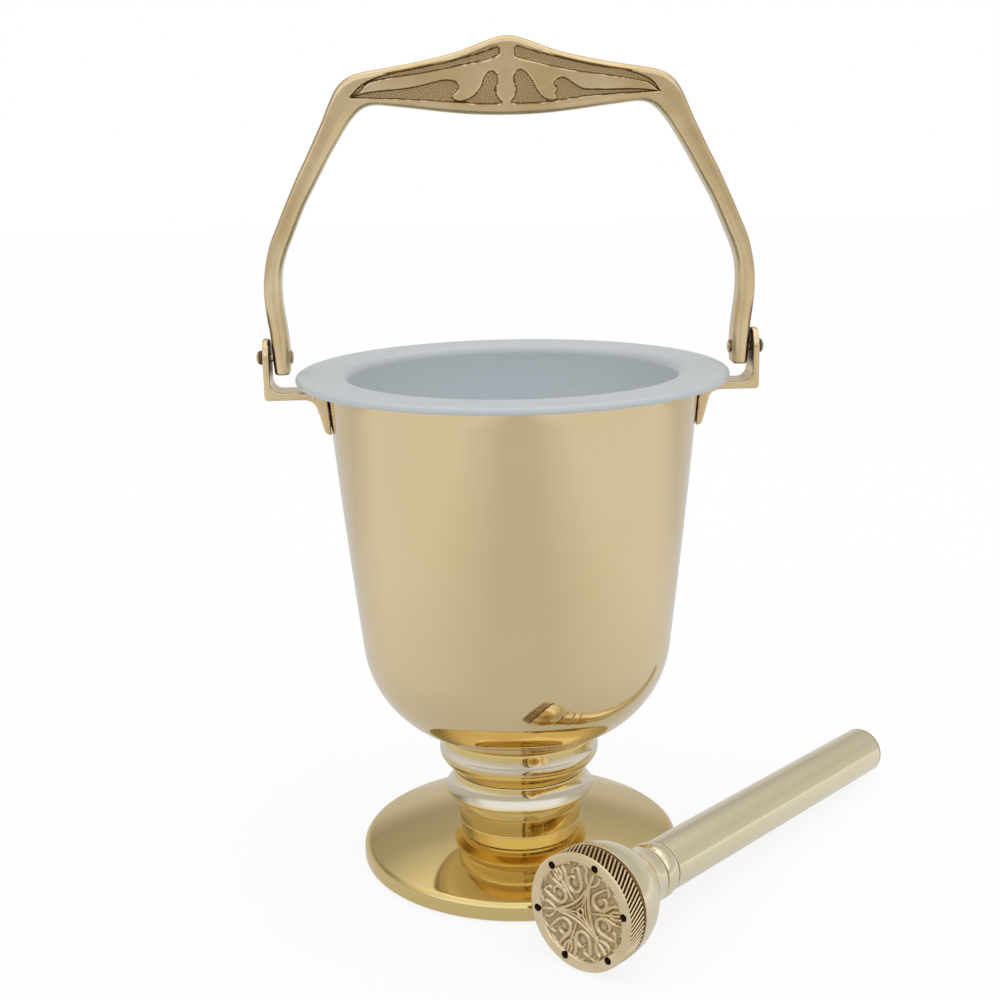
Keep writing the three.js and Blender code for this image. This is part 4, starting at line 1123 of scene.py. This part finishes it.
class POT_OT_brackets(bpy.types.Operator):
    """Casts both brackets with softened edges, and the rivets in them"""
    bl_idname = "pot.brackets"
    bl_label = "Brackets and rivets"

    def execute(self, context):
        brass = bail_brass()
        for side, sign in (("right", 1), ("left", -1)):
            self.bracket(side, sign, brass)
            self.rivet(side, sign, brass)
        return {"FINISHED"}

    def bracket(self, side, sign, brass):
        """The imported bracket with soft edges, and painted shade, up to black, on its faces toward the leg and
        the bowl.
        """
        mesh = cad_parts["bracket_" + side].data.copy()
        edited(mesh, lambda bm: bmesh.ops.remove_doubles(bm, verts=bm.verts, dist=2e-6))
        rough = new_object("bracket_rough", mesh)
        remesh = rough.modifiers.new("Skin", "REMESH")
        remesh.mode, remesh.voxel_size, remesh.use_smooth_shade = "VOXEL", 0.00030, True
        soften = rough.modifiers.new("Soften", "SMOOTH")
        soften.factor, soften.iterations = 0.5, 7
        piece = evaluated_copy("bracket_cast_" + side, rough, brass, 60.0)
        ear_face, wall_face = 73.0, 68.0
        spots, ways = points_and_ways(piece)
        out, height = spots[:, 0] * sign, spots[:, 2] - PIVOT_Z
        facing = np.clip((-ways[:, 0] * sign - 0.5) * 4.0, 0, 1)
        ear = np.clip((out - ear_face) * 2.0, 0, 1) * np.clip((height + 7.0) / 5.0, 0, 1)
        wall = np.clip((wall_face - out) * 2.0, 0, 1)
        # painted shade on the faces that look in: at the ear toward the leg, and at the saddle toward the bowl
        set_recess(piece, facing * np.maximum(ear * 1.7, wall * 1.6))
        adopt(piece, "pot", "cast_brass", "bracket_" + side)

    def rivet(self, side, sign, brass):
        """A rivet through ear and leg, with painted shade round its heads."""
        lie = Matrix.Translation((0, 0, PIVOT_Z * MM)) @ Matrix.Rotation(math.pi / 2 * sign, 4, "Y")
        piece = turned("rivet_" + side, rivet_profile(), 32, brass, lie)
        spots, _ = points_and_ways(piece)
        radius = np.hypot(spots[:, 1], spots[:, 2] - PIVOT_Z)
        # painted shade on the rims of both heads, darker further out
        set_recess(piece, np.clip((radius - 1.75) * 5.0, 0, 1.7))
        adopt(piece, "pot", "cast_brass", "pivot_pin_" + side)


class POT_OT_bail(bpy.types.Operator):
    """Casts the bail with the hollowed ornament of its grip and the pebbled ground in it"""
    bl_idname = "pot.bail"
    bl_label = "Bail"

    def execute(self, context):
        shape = context.scene.pot_shape
        brass = bail_brass()
        verts, faces, dirt_and_shade = bail_mesh(shape.recess_depth / MM)
        solid = make_object("bail_solid", verts, faces, brass)
        set_recess(solid, dirt_and_shade)
        # the grains stand on the floor of the hollows, and not on their walls, which are darker
        low = (np.array(dirt_and_shade) > 0.66) & (np.array(dirt_and_shade) < 0.80)
        ground = [face for face in faces if len(face) == 4 and low[list(face)].all()]
        patch = make_object("bail_ground", verts, ground, brass)
        grain_tree(brass).fit(patch, {"Spacing": shape.pebble_gap, "Radius": shape.pebble_radius, "Seed": 11})
        pin_hole_tree(brass).fit(solid, {"Radius": PIN_HOLE * MM, "Length": 0.2, "Height": PIVOT_Z * MM})
        bail = evaluated_copy("bail_cast", solid, brass, 42.0)
        self.paint_leg_shade(bail)
        adopt(bail, "bail", "cast_brass", "bail")
        grains = evaluated_copy("bail_grains", patch, brass, 80.0)
        set_recess(grains, 0.08)
        adopt(grains, "bail", "cast_brass")
        return {"FINISHED"}

    def paint_leg_shade(self, piece):
        """Painted shade under the legs' ends, and painted black shade on their faces against the ears."""
        spots, ways = points_and_ways(piece)
        height = spots[:, 2] - PIVOT_Z
        outward = np.clip((ways[:, 0] * np.sign(spots[:, 0]) - 0.4) * 3.0, 0, 1)
        beside = outward * np.clip((16.0 - height) / 4.0, 0, 1) * 1.6
        under = np.clip((-ways[:, 2] - 0.3) * 2.5, 0, 1) * np.clip((2.0 - height) / 3.0, 0, 1) * 0.9
        set_recess(piece, np.maximum(get_recess(piece), np.maximum(beside, under)))


class POT_OT_sprinkler_cap(bpy.types.Operator):
    """Makes the pierced cap with its scroll ornament and ribbed rim"""
    bl_idname = "pot.sprinkler_cap"
    bl_label = "Sprinkler cap"

    def execute(self, context):
        shape, colours = context.scene.pot_shape, context.scene.pot_finish
        brass = cast_brass("Ornament brass", colours.ornament, colours.patina_and_shade, colours.groove, 0.24, 0.000006)
        lie, _ = sprinkler_place()
        verts, faces, recess = cap_mesh(shape.relief_depth)
        cup = make_object("cap_cup", verts, faces, brass)
        set_recess(cup, recess)
        patch = make_object("cap_ground", verts, self.ground(verts, faces, shape.relief_depth / MM), brass)
        patch.data.shade_flat()
        grain_tree(brass).fit(patch, {"Spacing": shape.grain_gap, "Radius": shape.grain_radius, "Seed": 5})
        hole_tree(brass).fit(cup, {
            "Count": 6, "Ring radius": HOLE_CIRCLE * MM, "Hole radius": HOLE_RADIUS * MM,
            "Centre radius": CENTRE_HOLE * MM, "Phase": math.radians(180.0 - HOLE_PHASE), "Depth": 0.012})
        ribs = new_object("cap_rib_seed", bpy.data.meshes.new("cap_rib_seed"))
        rib_tree(brass).fit(ribs, {
            "Count": shape.rib_count, "Rim radius": (HEAD_RADIUS - 0.02) * MM - shape.rib_radius,
            "Rib radius": shape.rib_radius, "Start": 0.00055, "Length": (CAP_LENGTH - 0.7) * MM,
            "Slant": -shape.rib_slant})
        pierced = evaluated_copy("cap_pierced", cup, brass, SHARP_ANGLE)
        self.blacken_holes(pierced)
        pierced.data.transform(lie)
        adopt(pierced, "cap", "engraved_brass", "sprinkler_cap")
        for name, source, mark in (("cap_grains", patch, 0.12), ("cap_ribs", ribs, 0.0)):
            piece = evaluated_copy(name, source, brass, 75.0)
            set_recess(piece, mark)
            piece.data.transform(lie)
            adopt(piece, "cap", "engraved_brass")
        return {"FINISHED"}

    def ground(self, verts, faces, depth):
        """The faces of the low ground between the strokes."""
        spots = np.array(verts)
        radius = np.hypot(spots[:, 0], spots[:, 1])
        low = (spots[:, 2] > 0.93 * depth) & (spots[:, 2] < 1.0) & (radius < 14.0) & (radius > 1.6)
        return [face for face in faces if len(face) == 4 and low[list(face)].all()]

    def blacken_holes(self, piece):
        """Paints the walls of the holes, behind the face, black as shade."""
        spots, _ = points_and_ways(piece)
        marks = get_recess(piece)
        centres = [(*polar(HOLE_CIRCLE, 180.0 - HOLE_PHASE + 60 * k), HOLE_RADIUS) for k in range(6)]
        for x, y, radius in [(0.0, 0.0, CENTRE_HOLE)] + centres:
            near = np.hypot(spots[:, 0] - x, spots[:, 1] - y) < radius + 0.05
            marks[near & (spots[:, 2] > 1.2)] = 2.0
        set_recess(piece, marks)


class POT_OT_sprinkler_handle(bpy.types.Operator):
    """Turns the sprinkler's head, ferrule, tube and end plug"""
    bl_idname = "pot.sprinkler_handle"
    bl_label = "Sprinkler head and handle"

    def execute(self, context):
        colours = context.scene.pot_finish
        lie, along = sprinkler_place()
        # painted black shade in the gap from head to ferrule; the groove of the neck and both ends of the tube
        # darkened
        joints = [(low * MM, high * MM, strength, colour) for low, high, strength, colour in (
            (32.6, 33.5, 0.95, colours.groove), (24.4, 25.5, 0.75, colours.patina_and_shade),
            (TUBE_START - 0.4, TUBE_START + 0.2, 0.7, colours.patina_and_shade),
            (TUBE_END - 0.1, TUBE_END + 0.4, 0.7, colours.patina_and_shade))]
        brass = turned_brass("Sprinkler brass", colours.handle, 0.16, 0.0000022, SPRINKLER_FACE * MM, along,
                             bands=joints)
        turn_pieces("sprinkler", "satin_brass", brass, context.scene.pot_shape.handle_sides, (
            ("head_turned", "sprinkler_head", head_profile(), True),
            ("ferrule_turned", "handle_ferrule", ferrule_profile(), True),
            ("tube_drawn", "handle_tube", tube_profile(), True),
            ("end_plug_turned", "handle_end_plug", plug_profile(), False)), lie)
        return {"FINISHED"}


class POT_OT_fixings(bpy.types.Operator):
    """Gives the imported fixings, the seal and the sponge their finishes"""
    bl_idname = "pot.fixings"
    bl_label = "Fixings, seal and sponge"

    def execute(self, context):
        colours = context.scene.pot_finish
        plain = turned_brass("Fixing brass", colours.gold, 0.24, 0.000004, coat=0.0)
        finishes = {"cap_seal": moulded_rubber("Seal rubber", colours.seal),
                    "sponge": soft_foam("Sponge foam", colours.sponge)}
        names = ["bowl_washer", "tie_nut", "tie_rod", *finishes]
        names += [f"bracket_screw_{side}_{n}" for side in ("right", "left") for n in (1, 2)]
        for name in names:
            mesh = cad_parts[name].data
            mesh.materials.clear()
            mesh.materials.append(finishes.get(name, plain))
        return {"FINISHED"}


class POT_OT_studio(bpy.types.Operator):
    """Sets up the floor, the light tent, the lamp and the camera"""
    bl_idname = "pot.studio"
    bl_label = "Studio"

    def execute(self, context):
        studio = context.scene.pot_studio
        context.scene.view_settings.view_transform = "Standard"
        self.floor(studio)
        context.scene.world = self.tent(studio)
        self.lamp()
        context.scene.camera = self.camera(studio)
        return {"FINISHED"}

    def floor(self, studio):
        """A floor that looks white, and that the brass sees a little darker in front of the pot."""
        size, level = 3.0, -0.0001
        spots = [(x * size, y * size, level) for x, y in ((-1, -1), (1, -1), (1, 1), (-1, 1))]
        mesh = bpy.data.meshes.new("floor")
        mesh.from_pydata(spots, [], [(0, 1, 2, 3)])
        floor = new_object("floor", mesh)
        paint = Finish("Pale floor")
        place = paint.place()
        aside = paint.part(paint.vector("ABSOLUTE", place), 0)
        flank = ((aside - 0.06) * 5.0).held() * ((0.24 - paint.part(place, 1)) * 5.0).held()
        camera = paint.ray("Camera")
        plain = paint.node("ShaderNodeBsdfDiffuse", {"Color": tuple(studio.floor)})
        glow = (flank * studio.flanks + studio.front) * (1.0 - camera) + camera * 1.06
        tone = paint.blend(flank * (1.0 - camera), (1.0, 1.0, 1.0, 1.0), (0.94, 0.965, 1.0, 1.0))
        white = paint.node("ShaderNodeEmission", {"Color": tone, "Strength": glow})
        seen = (camera + paint.ray("Glossy") + paint.ray("Transmission")).held() * 0.8
        mixed = paint.node("ShaderNodeMixShader", {0: seen, 1: plain, 2: white})
        paint.node("ShaderNodeOutputMaterial", {"Surface": mixed})
        mesh.materials.append(paint.holder)

    def tent(self, studio):
        """A light tent: a cool panel over the camera and a darker back wall, white where the camera looks."""
        sky = Finish("Light tent", world=True)
        way = sky.node("ShaderNodeTexCoord", out="Generated")
        aside, toward, rise = (sky.part(way, index) for index in range(3))
        level = ((rise - 0.3) * 1.8).held() * (studio.roof - studio.walls) + studio.walls
        panel = ((rise - 0.25) * 8.0).held() * ((0.86 - rise) * 6.0).held() * ((-0.1 - toward) * 3.0).held()
        tone = sky.blend(panel, (1.0, 0.99, 0.97, 1.0), (0.80, 0.88, 1.0, 1.0))
        level = panel * (studio.panel - level) + level
        behind = ((rise - 0.2) * 6.0).held() * ((0.80 - rise) * 4.0).held() * ((toward - 0.05) * 3.0).held()
        level = level * (1.0 - behind * (0.36 - aside * 0.22))
        camera = sky.ray("Camera")
        tone = sky.blend(camera, tone, (1.0, 1.0, 1.0, 1.0))
        light = sky.node("ShaderNodeBackground", {"Color": tone, "Strength": camera * (1.0 - level) + level})
        sky.node("ShaderNodeOutputWorld", {"Surface": light})
        return sky.holder

    def lamp(self):
        """A large soft lamp over the pot."""
        lamp = bpy.data.lights.new("softbox_top", "AREA")
        lamp.shape, lamp.size, lamp.size_y, lamp.energy = "RECTANGLE", 1.3, 1.3, 1.5
        spot, aim = Vector((0.1, 0.2, 1.25)), Vector((0.0, 0.0, 0.1))
        turn = (aim - spot).to_track_quat("-Z", "Y").to_matrix().to_4x4()
        new_object("softbox_top", lamp).matrix_world = Matrix.Translation(spot) @ turn

    def camera(self, studio):
        """The camera, whose frame leans a little to one side."""
        data = bpy.data.cameras.new("camera")
        data.lens, data.sensor_width, data.shift_x, data.clip_start = studio.lens, 36.0, CAMERA_SHIFT, 0.01
        holder = new_object("camera", data)
        heading, roll = (Matrix.Rotation(-angle, 4, "Z") for angle in (CAMERA_HEADING, CAMERA_ROLL))
        tilt = Matrix.Rotation(math.pi / 2 - CAMERA_PITCH, 4, "X")
        holder.matrix_world = Matrix.Translation(CAMERA_SPOT * MM) @ heading @ tilt @ roll
        return holder


class POT_PT_panel(bpy.types.Panel):
    """Settings and steps of the holy water pot"""
    bl_label = "Holy water pot"
    bl_idname = "POT_PT_panel"
    bl_space_type = "VIEW_3D"
    bl_region_type = "UI"
    bl_category = "Holy water pot"

    def draw(self, context):
        scene = context.scene
        for settings in (scene.pot_finish, scene.pot_shape, scene.pot_studio):
            box = self.layout.box()
            for name in settings.bl_rna.properties.keys():
                if name not in ("rna_type", "name"):
                    box.prop(settings, name)
        for step in STEPS:
            self.layout.operator(step.bl_idname)


STEPS = (POT_OT_foot_and_stem, POT_OT_bowl, POT_OT_liner, POT_OT_brackets, POT_OT_bail, POT_OT_sprinkler_cap,
         POT_OT_sprinkler_handle, POT_OT_fixings, POT_OT_studio)
CLASSES = (PotFinishSettings, PotShapeSettings, PotStudioSettings, *STEPS, POT_PT_panel)


def register():
    for item in CLASSES:
        bpy.utils.register_class(item)
    bpy.types.Scene.pot_finish = bpy.props.PointerProperty(type=PotFinishSettings)
    bpy.types.Scene.pot_shape = bpy.props.PointerProperty(type=PotShapeSettings)
    bpy.types.Scene.pot_studio = bpy.props.PointerProperty(type=PotStudioSettings)


def unregister():
    for name in ("pot_finish", "pot_shape", "pot_studio"):
        delattr(bpy.types.Scene, name)
    for item in reversed(CLASSES):
        bpy.utils.unregister_class(item)


def main():
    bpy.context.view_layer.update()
    register()
    for step in STEPS:
        group, name = step.bl_idname.split(".")
        getattr(getattr(bpy.ops, group), name)()


if __name__ == "__main__":
    main()
